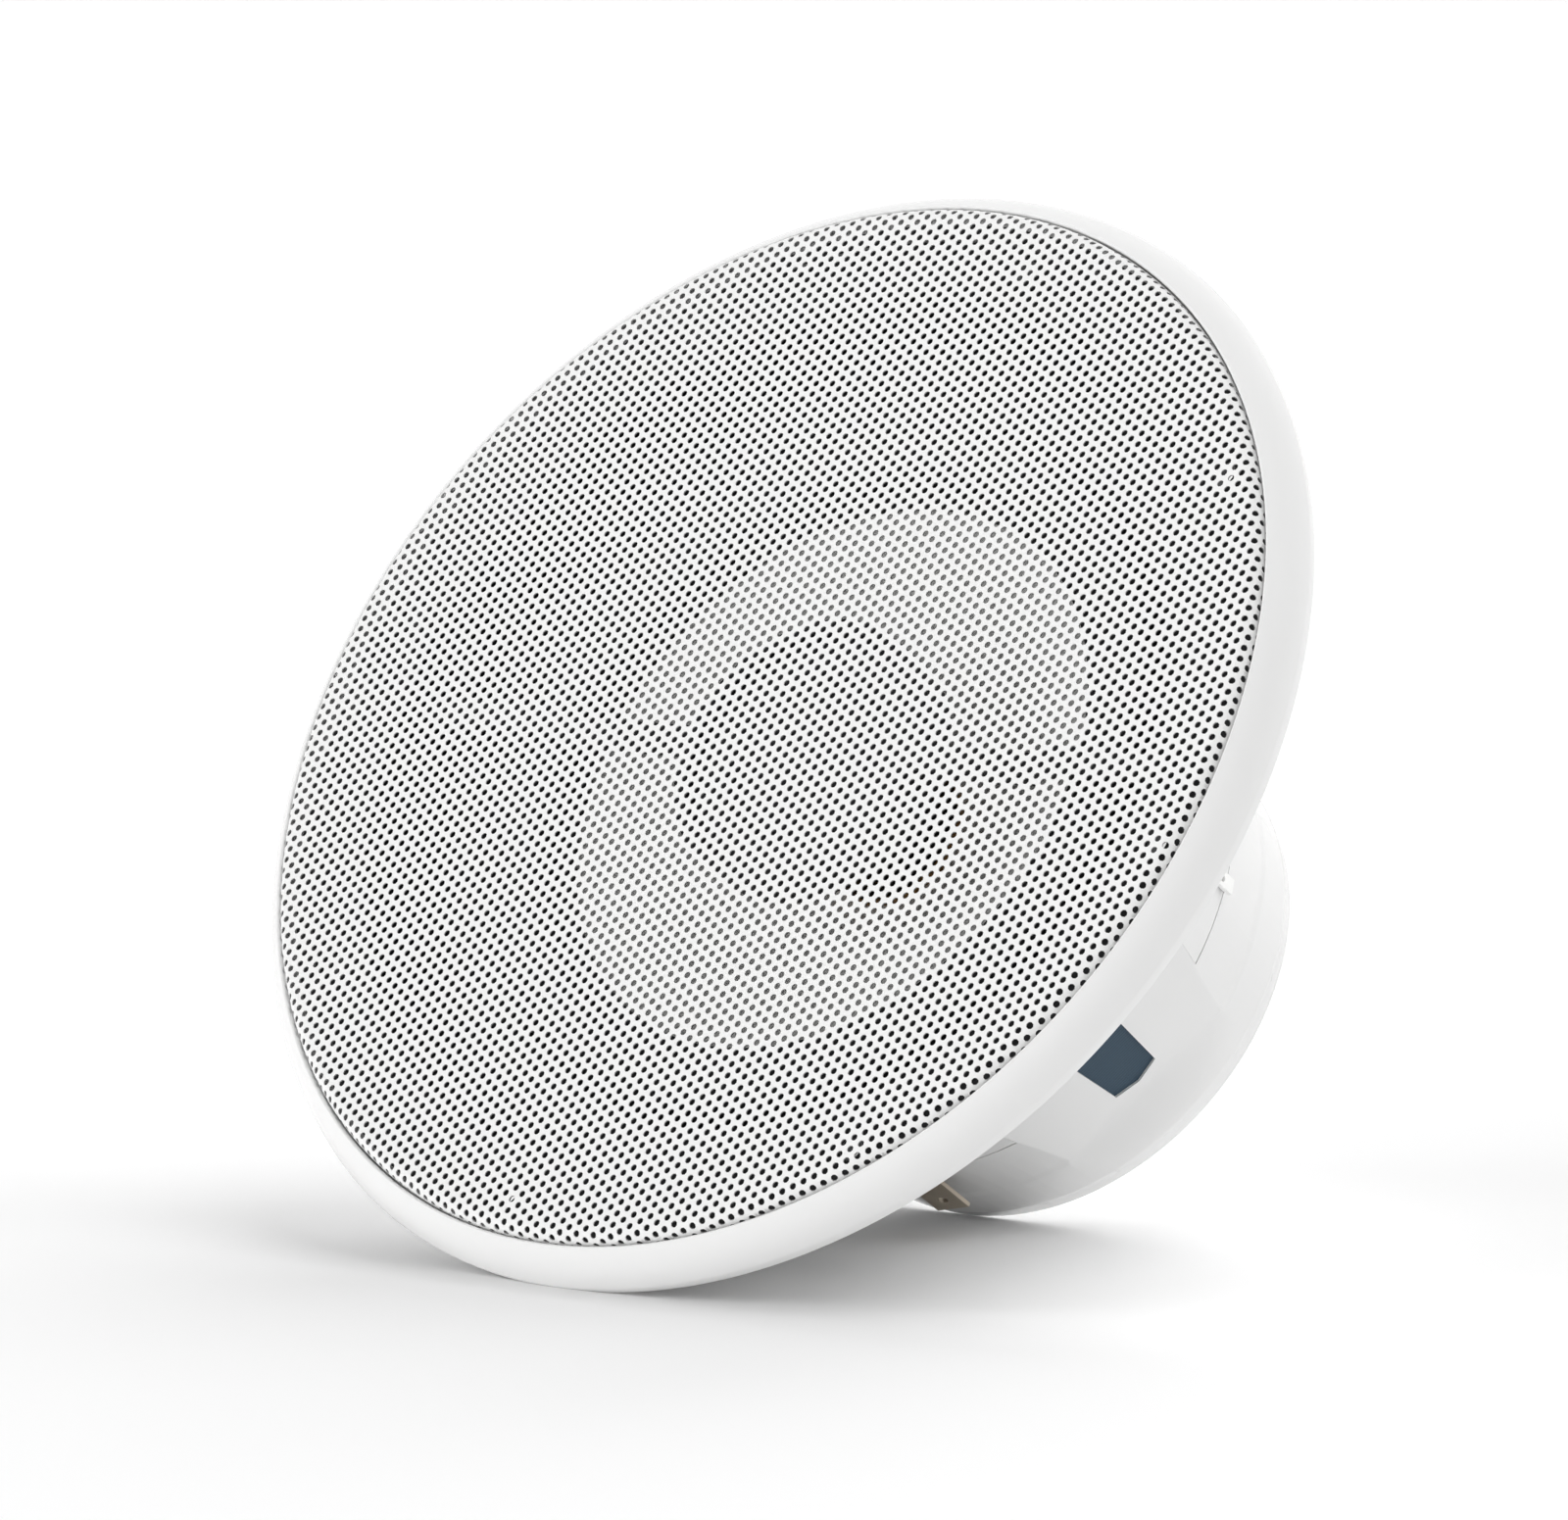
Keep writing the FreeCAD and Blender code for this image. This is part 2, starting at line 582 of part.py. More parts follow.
def make_basket():
    body = turned(basket_profile())
    body = body.fuse([
        blade_boss(POSITIVE_WIDTH, POSITIVE_DISTANCE, POSITIVE_SHIFT, POSITIVE_ANGLE),
        blade_boss(NEGATIVE_WIDTH, NEGATIVE_DISTANCE, NEGATIVE_SHIFT, NEGATIVE_ANGLE),
    ] + around(basket_rib(), ARM_COUNT, 180.0 / ARM_COUNT))
    window = slab([
        (-BASKET_WINDOW_LOW_HALF, BASKET_WINDOW_LOW_Z),
        (BASKET_WINDOW_LOW_HALF, BASKET_WINDOW_LOW_Z),
        (BASKET_WINDOW_TOP_HALF, BASKET_WINDOW_TOP_Z),
        (-BASKET_WINDOW_TOP_HALF, BASKET_WINDOW_TOP_Z),
    ], SHELF_INNER_RADIUS, RING_RADIUS)
    cuts = around(rounded_sides(window, BASKET_WINDOW_ROUND), ARM_COUNT)
    cuts += around(tongue_slab(SNUG), FLAT_COUNT)
    cuts += screw_pegs(SCREW_HOLE_RADIUS, 0, FLANGE_THICKNESS)
    cuts += motor_screw_pegs(MOTOR_SCREW_RADIUS + SNUG, FLOOR_BOTTOM_Z, FLOOR_Z)
    cuts += [positive_blade(SNUG), negative_blade(SNUG)]
    return body.cut(cuts)


def body_blank(inset, top):
    """The tapered body with its four flats, drawn in by an inset on every side."""
    low = BACK_Z + inset
    rim = body_radius(BACK_Z) - inset
    soft = BACK_ROUND
    round_centre = (rim - soft, low + soft)
    corner = bow(round_centre, soft, -90, 0, BACK_ROUND_STEPS)
    profile = [(0, low)] + corner + [(body_radius(top) - inset, top), (0, top)]
    ramp_low = FLAT_END_Z - FLAT_RAMP
    outline = [
        (flat_distance(top) - inset, top),
        (FLAT_END_DISTANCE - inset, FLAT_END_Z),
        (body_radius(ramp_low) - inset, ramp_low),
        (RING_RADIUS, ramp_low),
        (RING_RADIUS, top),
    ]
    flat = side_cut(outline, SEAM_RADIUS)
    return turned(profile).cut(around(flat, FLAT_COUNT))


def behind_window(near_depth, margin):
    """A plate behind a vent window, from just under the flat's face down to a given depth."""
    top = WINDOW_TOP_Z + margin
    low = WINDOW_LOW_Z - WINDOW_POINT - margin
    return side_cut([
        (flat_distance(top) - WINDOW_LIP, top),
        (flat_distance(low) - WINDOW_LIP, low),
        (flat_distance(low) - near_depth, low),
        (flat_distance(top) - near_depth, top),
    ], WINDOW_TOP_HALF + margin)


def make_vent_screens():
    """A dust screen glued into the pocket behind each vent window."""
    screen = behind_window(WINDOW_LIP + SCREEN_THICKNESS, SCREEN_MARGIN)
    return Part.makeCompound(around(screen, FLAT_COUNT))


def make_motor_cover():
    """A cup over the motor, with four flat tongues that reach forward past the seam."""
    mouth = SEAM_Z - SEAM_GAP
    top = SHOULDER_Z - CLEARANCE
    shell = body_blank(0, top).cut(body_blank(COVER_WALL, top))
    below = disc(RING_RADIUS, BACK_Z, mouth)
    keep = below.fuse(around(tongue_slab(0), FLAT_COUNT))
    cup = shell.common(keep)
    spigot_radius = body_radius(SEAM_Z) - BASKET_WALL - CLEARANCE
    spigot = disc(spigot_radius, mouth - SPIGOT_OVERLAP, SEAM_Z + SPIGOT_HEIGHT,
                  spigot_radius - SPIGOT_WALL)
    spigot = spigot.common(body_blank(COVER_WALL / 2, top))
    window = slab([
        (-WINDOW_TOP_HALF, WINDOW_TOP_Z),
        (-WINDOW_LOW_HALF, WINDOW_LOW_Z),
        (0, WINDOW_LOW_Z - WINDOW_POINT),
        (WINDOW_LOW_HALF, WINDOW_LOW_Z),
        (WINDOW_TOP_HALF, WINDOW_TOP_Z),
    ], PLATE_RADIUS, RING_RADIUS)
    pocket = behind_window(COVER_WALL + SPIGOT_WALL + CLEARANCE, SCREEN_MARGIN + SNUG)
    cup = cup.fuse(spigot).cut(around(window, FLAT_COUNT) + around(pocket, FLAT_COUNT))
    return cup.removeSplitter()


def make_top_plate():
    plate = disc(PLATE_RADIUS, TOP_PLATE_Z, FLOOR_BOTTOM_Z, GAP_RADIUS)
    return plate.cut(motor_screw_pegs(MOTOR_SCREW_RADIUS + SNUG, TOP_PLATE_Z, FLOOR_BOTTOM_Z))


def make_magnet():
    return disc(MAGNET_RADIUS, MAGNET_Z, TOP_PLATE_Z, MAGNET_BORE_RADIUS)


def make_pole_yoke():
    plate = disc(PLATE_RADIUS, BACK_PLATE_Z, MAGNET_Z)
    pole = disc(POLE_RADIUS, MAGNET_Z, POLE_TOP_Z)
    bore = disc(POLE_BORE_RADIUS, BACK_PLATE_Z, POLE_TOP_Z)
    head_room = disc(POST_SCREW_HEAD_RADIUS + SNUG, BACK_PLATE_Z, BACK_PLATE_Z + POST_SCREW_HEAD)
    return plate.fuse(pole).cut([bore, head_room]).removeSplitter()


def make_motor_screws():
    """Four like screws through the basket's floor into the top plate."""
    heads = motor_screw_pegs(MOTOR_SCREW_HEAD_RADIUS, FLOOR_Z, FLOOR_Z + MOTOR_SCREW_HEAD)
    shanks = motor_screw_pegs(MOTOR_SCREW_RADIUS, TOP_PLATE_Z + SNUG, FLOOR_Z)
    screws = [head.fuse(shank) for head, shank in zip(heads, shanks)]
    return Part.makeCompound(screws)


def make_coil_former():
    return disc(FORMER_RADIUS, COIL_LOW_Z, FORMER_TOP_Z, FORMER_INNER_RADIUS)


def make_voice_coil():
    return disc(COIL_RADIUS, COIL_LOW_Z, COIL_LOW_Z + COIL_HEIGHT, FORMER_RADIUS)


def make_cone():
    """A shallow flared cone with a flat rim under the surround and a collar on the former."""
    neck = FORMER_RADIUS
    under = CONE_THICKNESS
    front_low = (neck + CONE_COLLAR, CONE_NECK_Z)
    front_top = (CONE_OPEN_RADIUS, CONE_RIM_Z)
    middle = ((front_low[0] + front_top[0]) / 2, (front_low[1] + front_top[1]) / 2 - CONE_FLARE)
    front = [(neck, CONE_NECK_Z), front_low, middle, front_top, (CONE_RIM_RADIUS, CONE_RIM_Z)]
    back = [(radius, z - under) for radius, z in front]
    return turned(front + back[::-1])


def make_surround():
    """A half roll between two flat lips."""
    low = LANDING_Z
    high = low + SURROUND_THICKNESS
    centre = SURROUND_ROLL_CENTRE
    big = SURROUND_ROLL_RADIUS
    small = big - SURROUND_THICKNESS
    under = bow((centre, low), small, 180, 0, SURROUND_STEPS)
    over = bow((centre, high), big, 0, 180, SURROUND_STEPS)
    inner = [(SURROUND_INNER_RADIUS, high), (SURROUND_INNER_RADIUS, low)]
    outer = [(SURROUND_OUTER_RADIUS, low), (SURROUND_OUTER_RADIUS, high)]
    return turned(inner + under + outer + over)


def make_spider():
    """A corrugated disc from its collar round the former to its rim on the shelf."""
    collar = FORMER_RADIUS + CLEARANCE
    inner = SPIDER_WAVE_INNER_RADIUS
    outer = SHELF_INNER_RADIUS - SPIDER_THICKNESS
    step = (outer - inner) / (2 * SPIDER_WAVE_COUNT)
    path = [(collar, SHELF_Z), (inner, SHELF_Z)]
    for turn in range(1, 2 * SPIDER_WAVE_COUNT):
        rise = SPIDER_WAVE_HEIGHT / 2 if turn % 2 else -SPIDER_WAVE_HEIGHT / 2
        path.append((inner + turn * step, SHELF_Z + rise))
    path += [(outer, SHELF_Z), (SPIDER_RIM_RADIUS, SHELF_Z)]
    top = [(radius, z + SPIDER_THICKNESS) for radius, z in path]
    return turned(path + top[::-1])


def bridge_arms(margin):
    """Two flat arms that step up over the surround, out to beyond the dish's wall."""
    low = POD_FRONT_Z - margin
    high = POD_FRONT_Z + BRIDGE_THICKNESS + margin
    step_start = CONE_OPEN_RADIUS
    step_end = step_start + BRIDGE_STEP_RUN
    arm = side_cut([
        (BRIDGE_OPEN_RADIUS, low),
        (step_start, low),
        (step_end, low + BRIDGE_STEP),
        (RING_RADIUS, low + BRIDGE_STEP),
        (RING_RADIUS, high + BRIDGE_STEP),
        (step_end, high + BRIDGE_STEP),
        (step_start, high),
        (BRIDGE_OPEN_RADIUS, high),
    ], BRIDGE_WIDTH / 2 + margin)
    return around(arm, 2, BRIDGE_ANGLE)


def make_tweeter_bridge():
    """A bar from wall to wall of the dish, with a ring in its middle that holds the tweeter's housing."""
    dish = turned([
        (0, LANDING_Z),
        (DISH_RADIUS - DISH_DRAFT - SNUG, LANDING_Z),
        (DISH_RADIUS - SNUG, FLANGE_THICKNESS),
        (0, FLANGE_THICKNESS),
    ])
    ring = disc(POD_RADIUS, POD_FRONT_Z, POD_FRONT_Z + BRIDGE_THICKNESS)
    opening = disc(BRIDGE_OPEN_RADIUS, POD_FRONT_Z, POD_FRONT_Z + BRIDGE_THICKNESS)
    return ring.fuse([arm.common(dish) for arm in bridge_arms(0)]).cut(opening).removeSplitter()


def make_front_gasket():
    """A black ring that lines the dish, from the surround's lip to the flange."""
    lip_top = LANDING_Z + SURROUND_THICKNESS
    inner = SURROUND_ROLL_CENTRE + SURROUND_ROLL_RADIUS + CLEARANCE
    wall_low = DISH_RADIUS - DISH_DRAFT - SNUG
    wall_top = DISH_RADIUS - SNUG
    flange_outer = SHELF_INNER - CLEARANCE
    thick = GASKET_THICKNESS
    ring = turned([
        (inner, lip_top),
        (SURROUND_OUTER_RADIUS + SNUG, lip_top),
        (SURROUND_OUTER_RADIUS + SNUG, LANDING_Z),
        (wall_low, LANDING_Z),
        (wall_top, FLANGE_THICKNESS),
        (flange_outer, FLANGE_THICKNESS),
        (flange_outer, FLANGE_THICKNESS + thick),
        (wall_top - thick, FLANGE_THICKNESS + thick),
        (wall_low - thick, lip_top + thick),
        (inner, lip_top + thick),
    ])
    holes = screw_pegs(SCREW_HOLE_RADIUS + GASKET_HOLE_MARGIN, FLANGE_THICKNESS, SHELF_TOP_Z)
    return ring.cut(holes + bridge_arms(SNUG))


def make_tweeter_post():
    tube = disc(POST_RADIUS, POLE_TOP_Z, POST_TOP_Z)
    inside = disc(POST_BORE_RADIUS, POLE_TOP_Z + POST_BASE, POST_TOP_Z)
    screw_hole = disc(POST_SCREW_RADIUS + SNUG, POLE_TOP_Z, POLE_TOP_Z + POST_BASE)
    return tube.cut([inside, screw_hole])


def make_tweeter_post_screw():
    head = disc(POST_SCREW_HEAD_RADIUS, BACK_PLATE_Z, BACK_PLATE_Z + POST_SCREW_HEAD)
    shank = disc(POST_SCREW_RADIUS, BACK_PLATE_Z, POLE_TOP_Z + POST_BASE - SNUG)
    return head.fuse(shank).removeSplitter()


def make_crossover_capacitor():
    low = POLE_TOP_Z + POST_BASE
    high = low + CAPACITOR_LENGTH
    edge = CAPACITOR_RADIUS - CAPACITOR_ROUND
    return turned([
        (0, low),
        (edge, low),
        (CAPACITOR_RADIUS, low + CAPACITOR_ROUND),
        (CAPACITOR_RADIUS, high - CAPACITOR_ROUND),
        (edge, high),
        (0, high),
    ])


def make_tweeter_housing():
    """A funnel-shaped pod with a stepped bore for the tweeter, and a socket on the post."""
    recess = POD_RADIUS - POD_RIM
    cavity = POT_RADIUS + SNUG
    return turned([
        (POST_RADIUS + SNUG, POD_NECK_Z),
        (POD_NECK_RADIUS, POD_NECK_Z),
        (POD_NECK_RADIUS, POD_NECK_TOP_Z),
        (POD_RADIUS, POD_FLARE_Z),
        (POD_RADIUS, POD_FRONT_Z),
        (recess, POD_FRONT_Z),
        (recess, POD_FLOOR_Z),
        (cavity, POD_FLOOR_Z),
        (cavity, POT_LOW_Z),
        (POST_BORE_RADIUS, POT_LOW_Z),
        (POST_BORE_RADIUS, POST_TOP_Z),
        (POST_RADIUS + SNUG, POST_TOP_Z),
    ])


def make_tweeter_pot():
    cup = disc(POT_RADIUS, POT_LOW_Z, POT_LOW_Z + POT_HEIGHT)
    return cup.cut(disc(POT_RADIUS - POT_WALL, POT_LOW_Z + POT_FLOOR, POT_LOW_Z + POT_HEIGHT))


def make_tweeter_magnet():
    low = POT_LOW_Z + POT_FLOOR
    return disc(TWEETER_MAGNET_RADIUS, low, low + TWEETER_MAGNET_THICKNESS)


def make_tweeter_pole_disc():
    low = POT_LOW_Z + POT_FLOOR + TWEETER_MAGNET_THICKNESS
    return disc(TWEETER_MAGNET_RADIUS + SNUG, low, low + TWEETER_PLATE_THICKNESS)


def make_tweeter_dome():
    """A thin dome with a flat rim that the faceplate clamps."""
    low = POD_FLOOR_Z
    high = low + DOME_SKIN
    sphere = (DOME_RADIUS ** 2 + DOME_RISE ** 2) / (2 * DOME_RISE)
    middle_z = high + DOME_RISE - sphere
    inner = sphere - DOME_SKIN
    inner_edge = math.sqrt(inner ** 2 - (low - middle_z) ** 2)
    edges = [
        cap_arc(sphere, middle_z, DOME_RADIUS),
        line((DOME_RADIUS, high), (DOME_RIM_RADIUS, high)),
        line((DOME_RIM_RADIUS, high), (DOME_RIM_RADIUS, low)),
        line((DOME_RIM_RADIUS, low), (inner_edge, low)),
        cap_arc(inner, middle_z, inner_edge),
        line((0, middle_z + inner), (0, middle_z + sphere)),
    ]
    return turned_edges(Part.__sortEdges__(edges))


def make_tweeter_faceplate():
    low = POD_FLOOR_Z + DOME_SKIN
    outer = POD_RADIUS - POD_RIM - SNUG
    high = low + FACEPLATE_THICKNESS
    return turned([
        (FACEPLATE_INNER_RADIUS, low),
        (outer, low),
        (outer, high),
        (FACEPLATE_INNER_RADIUS + FACEPLATE_THICKNESS, high),
    ])


NODES = {
    "grille_ring": make_grille_ring,
    "grille_mesh": make_grille_mesh,
    "basket": make_basket,
    "mounting_seal": make_mounting_seal,
    "front_gasket": make_front_gasket,
    "surround": make_surround,
    "cone": make_cone,
    "coil_former": make_coil_former,
    "voice_coil": make_voice_coil,
    "spider": make_spider,
    "top_plate": make_top_plate,
    "magnet": make_magnet,
    "pole_yoke": make_pole_yoke,
    "motor_screws": make_motor_screws,
    "motor_cover": make_motor_cover,
    "vent_screens": make_vent_screens,
    "terminal_positive": positive_blade,
    "terminal_negative": negative_blade,
    "tweeter_post": make_tweeter_post,
    "tweeter_post_screw": make_tweeter_post_screw,
    "crossover_capacitor": make_crossover_capacitor,
    "tweeter_housing": make_tweeter_housing,
    "tweeter_bridge": make_tweeter_bridge,
    "tweeter_pot": make_tweeter_pot,
    "tweeter_magnet": make_tweeter_magnet,
    "tweeter_pole_disc": make_tweeter_pole_disc,
    "tweeter_dome": make_tweeter_dome,
    "tweeter_faceplate": make_tweeter_faceplate,
}

os.makedirs("parts", exist_ok=True)
for node, make in NODES.items():
    # The window seen first faces -Y, so the whole part is built facing +X and turned once.
    turned_by(make(), -90.0).exportStep(os.path.join("parts", node + ".step"))
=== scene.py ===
import math

import bmesh
import bpy
from bpy.props import FloatProperty, FloatVectorProperty, IntProperty, PointerProperty
from mathutils import Matrix, Quaternion, Vector
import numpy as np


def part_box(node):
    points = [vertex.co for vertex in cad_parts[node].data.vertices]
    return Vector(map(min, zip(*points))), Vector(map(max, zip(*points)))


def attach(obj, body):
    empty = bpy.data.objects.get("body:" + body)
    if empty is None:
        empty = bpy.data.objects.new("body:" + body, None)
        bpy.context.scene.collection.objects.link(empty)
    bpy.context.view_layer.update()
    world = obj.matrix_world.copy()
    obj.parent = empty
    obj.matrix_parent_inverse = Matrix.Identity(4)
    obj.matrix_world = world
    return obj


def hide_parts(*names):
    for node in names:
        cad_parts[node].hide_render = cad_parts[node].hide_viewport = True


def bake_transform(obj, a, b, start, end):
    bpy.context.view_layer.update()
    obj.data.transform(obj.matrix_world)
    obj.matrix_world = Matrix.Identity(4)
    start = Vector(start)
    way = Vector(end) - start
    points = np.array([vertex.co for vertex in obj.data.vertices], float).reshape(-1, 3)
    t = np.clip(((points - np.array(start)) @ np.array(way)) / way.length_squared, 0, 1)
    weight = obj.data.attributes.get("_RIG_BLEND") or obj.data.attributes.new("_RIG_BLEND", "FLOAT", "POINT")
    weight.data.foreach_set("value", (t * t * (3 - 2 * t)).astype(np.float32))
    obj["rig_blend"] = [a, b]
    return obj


bl_info = {
    "name": "Marine coaxial speaker",
    "version": (1, 0, 0),
    "blender": (4, 5, 0),
    "location": "View3D > Sidebar > Speaker",
    "description": "Dresses the packed speaker with its grille, mouldings, finishes and stage",
    "category": "Add Mesh",
}

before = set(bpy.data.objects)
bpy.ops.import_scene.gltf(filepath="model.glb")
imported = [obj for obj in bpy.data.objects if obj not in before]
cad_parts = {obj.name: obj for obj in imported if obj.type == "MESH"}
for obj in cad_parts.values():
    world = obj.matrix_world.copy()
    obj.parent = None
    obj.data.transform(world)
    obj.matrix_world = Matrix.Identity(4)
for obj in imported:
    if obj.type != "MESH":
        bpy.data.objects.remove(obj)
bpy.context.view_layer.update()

MM = 0.001
MERGE = 0.002 * MM
FULL_TURN = 2 * math.pi
FLAT_STEP = FULL_TURN / 4
SCREW_STEP = FULL_TURN / 8
STILL = "frame_body"
MOVING = "cone_body"
COVER_BACK_RADIUS = 44.9 * MM
PHOTO_WIDTH_PX = 1600
SENSOR_WIDTH_MM = 36.0
CAMERA_NEAR = 0.05
CAMERA_FAR = 200.0

# Edges that turn by more than a corner stay sharp, and faces that turn by less than the last become one
CORNER = math.radians(18)
SILK_CORNER = math.radians(30)
MOULDED_CORNER = math.radians(40)
SAME_FACE = math.radians(0.4)

# Fineness of the curved stretches
EDGE_SEGMENTS = 2
SMALL_ROUND_STEPS = 4
LIP_STEPS = 5
CROWN_STEPS = 20
ROLL_STEPS = 16
WAVE_STEPS = 12
CAP_STEPS = 24
RUN_OUT_CUTS = 72

# A face looks a given way when its normal goes along it by more than this share
FACING = 0.5
# An edge is a hole's own when it lies within this share of the hole's width from its middle
HOLE_REACH = 0.75
# How far below the seam the tongues begin, and how far the soft corners keep from the seam
TONGUE_FOOT = 0.5 * MM
SEAM_MARGIN = 1.0 * MM
COAT_ROUGHNESS = 0.08
WEAVE_BUMP = 0.6
PATCH_SCALE = 400.0

RING_LOW, RING_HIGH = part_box("grille_ring")
MESH_LOW, MESH_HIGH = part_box("grille_mesh")
COVER_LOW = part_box("motor_cover")[0]
SURROUND_LOW, SURROUND_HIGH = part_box("surround")
SPIDER_LOW, SPIDER_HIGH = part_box("spider")
SEAL_LOW, SEAL_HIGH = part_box("mounting_seal")
DOME_LOW, DOME_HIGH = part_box("tweeter_dome")


def length(name, description, value_mm):
    """A size that a user can change, given in millimetres and kept in metres."""
    return FloatProperty(name=name, description=description, default=value_mm * MM,
                         unit="LENGTH", precision=5)


def tint(name, description, rgb):
    return FloatVectorProperty(name=name, description=description, default=rgb,
                               subtype="COLOR", size=3, min=0.0, max=1.0)


def factor(name, description, value):
    return FloatProperty(name=name, description=description, default=value, min=0.0)


def bearing(name, description, degrees):
    return FloatProperty(name=name, description=description, default=math.radians(degrees),
                         subtype="ANGLE")


def whole(name, description, value, least):
    return IntProperty(name=name, description=description, default=value, min=least)


def spot(name, description, metres):
    return FloatVectorProperty(name=name, description=description, default=metres,
                               subtype="TRANSLATION", size=3)


class SpeakerSizes(bpy.types.PropertyGroup):
    """Sizes of the pieces that are modelled finer than the solids."""

    hole_pitch: length("Hole pitch", "Distance between neighbouring grille holes", 2.0)
    hole_diameter: length("Hole diameter", "Width of a grille hole", 1.2)
    hole_sides: whole("Hole sides", "Sides of a grille hole", 8, 6)
    hole_field: length("Hole field", "Radius of the flat hole pattern", 97.4)
    pattern_turn: bearing("Pattern turn", "Turn of the rows of holes", -25.4)
    sheet: length("Sheet", "Thickness of the grille sheet", 0.3)
    mesh_radius: length("Mesh radius", "Outer radius of the grille sheet", 95.2)
    dome_drop: length("Dome drop", "Drop of the grille from its apex to the rolled rim", 0.2)
    rim_roll: length("Rim roll", "Radius of the grille's rolled rim", 2.0)
    lip_width: length("Lip width", "Width of the ring's sloping face", 4.4)
    lip_round: length("Lip round", "Radius of the ring's inner lip", 0.5)
    ring_widest: length("Ring widest", "Height at which the ring is widest", 1.5)
    ring_bulge: length("Ring bulge", "Crown of the ring's sloping face", 0.75)
    ring_skirt: length("Ring skirt", "Thickness of the ring's skirt", 3.3)
    ring_foot: length("Ring foot", "Draft of the ring below its widest line", 0.3)
    ring_shelf: length("Ring shelf", "Width of the shelf under the grille", 4.2)
    shelf_low: length("Shelf underside", "Height of the shelf's underside", 3.0)
    shelf_thick: length("Shelf thickness", "Thickness of the shelf under the grille", 1.4)
    moulded_edge: length("Moulded edge", "Softened edge of the moulded pieces", 0.25)
    blade_edge: length("Blade edge", "Softened edge of the terminals", 0.08)
    roll_radius: length("Surround roll", "Radius of the surround's half roll", 5.7)
    roll_centre: length("Surround centre", "Radius of the middle of the roll", 59.2)
    surround_inner: length("Surround inside", "Inner radius of the surround", 50.2)
    surround_skin: length("Surround skin", "Thickness of the surround", 1.0)
    spider_inner: length("Spider inside", "Inner radius of the spider", 13.45)
    spider_collar: length("Spider collar", "Radius at which the spider's waves begin", 17.0)
    spider_shelf: length("Spider shelf", "Radius at which the spider's waves end", 42.2)
    spider_skin: length("Spider skin", "Thickness of the spider", 0.8)
    spider_waves: whole("Spider waves", "Waves of the spider", 4, 1)
    strip_width: length("Strip width", "Width of the foam strip under the grille's rim", 2.7)
    strip_thick: length("Strip thickness", "Thickness of the foam strip", 0.4)
    seam_height: length("Seam height", "Height of the seam between basket and cover", -58.0)
    seam_radius: length("Seam radius", "Radius of the body at the seam", 50.5)
    back_radius: length("Back radius", "Radius of the body at its back", 45.1)
    flat_at_seam: length("Flat at the seam", "Distance of a flat from the axis at the seam", 46.1)
    flat_end: length("Flat end", "Height at which a flat of the cover ends", -72.0)
    flat_at_end: length("Flat at its end", "Distance of a flat from the axis at its end", 44.29)
    run_out_high: length("Run-out start", "Height at which a flat of the cover begins to run out", -70.2)
    run_out_low: length("Run-out end", "Height at which a flat of the cover has run out", -83.0)
    run_out_step: length("Run-out step", "Fineness of the run-out", 0.8)
    window_half: length("Window half", "Half the width kept clear round a vent window", 7.5)
    tongue_end: length("Tongue end", "Height at which the cover's tongues end", -44.0)
    tongue_inside: length("Tongue inside", "Distance aside from which a tongue is widened", 15.0)
    tongue_side: length("Tongue side", "Distance aside up to which a tongue is widened", 24.0)
    tongue_ease: length("Tongue ease", "Widening of the tongues, which closes their side gaps", 0.09)
    back_round: length("Back round", "Height of the rounded edge at the cover's back", 2.0)
    screw_inset: length("Screw inset", "Distance of the screw circle from the seal", 3.0)
    # Painted shade: within this radius the inside of a screw hole is coloured dark
    screw_shade_radius: length("Screw room", "Radius of the dark inside of a screw hole", 2.7)
    bridge_edge: length("Bridge edge", "Softened edge of the tweeter bridge", 0.3)
    screen_edge: length("Screen edge", "Softened edge of the dust screens", 0.1)
    gasket_edge: length("Gasket edge", "Softened edge of the dish lining", 0.15)
    seal_width: length("Seal width", "Width of the mounting seal", 5.0)
    seal_round: length("Seal round", "Rounded corner of the mounting seal", 0.45)
    dome_rim: length("Dome rim", "Width of the tweeter dome's flat rim", 3.9)
    dome_skin: length("Dome skin", "Thickness of the tweeter dome", 0.5)
    turn_steps: whole("Turn steps", "Steps of a turned piece", 288, 32)


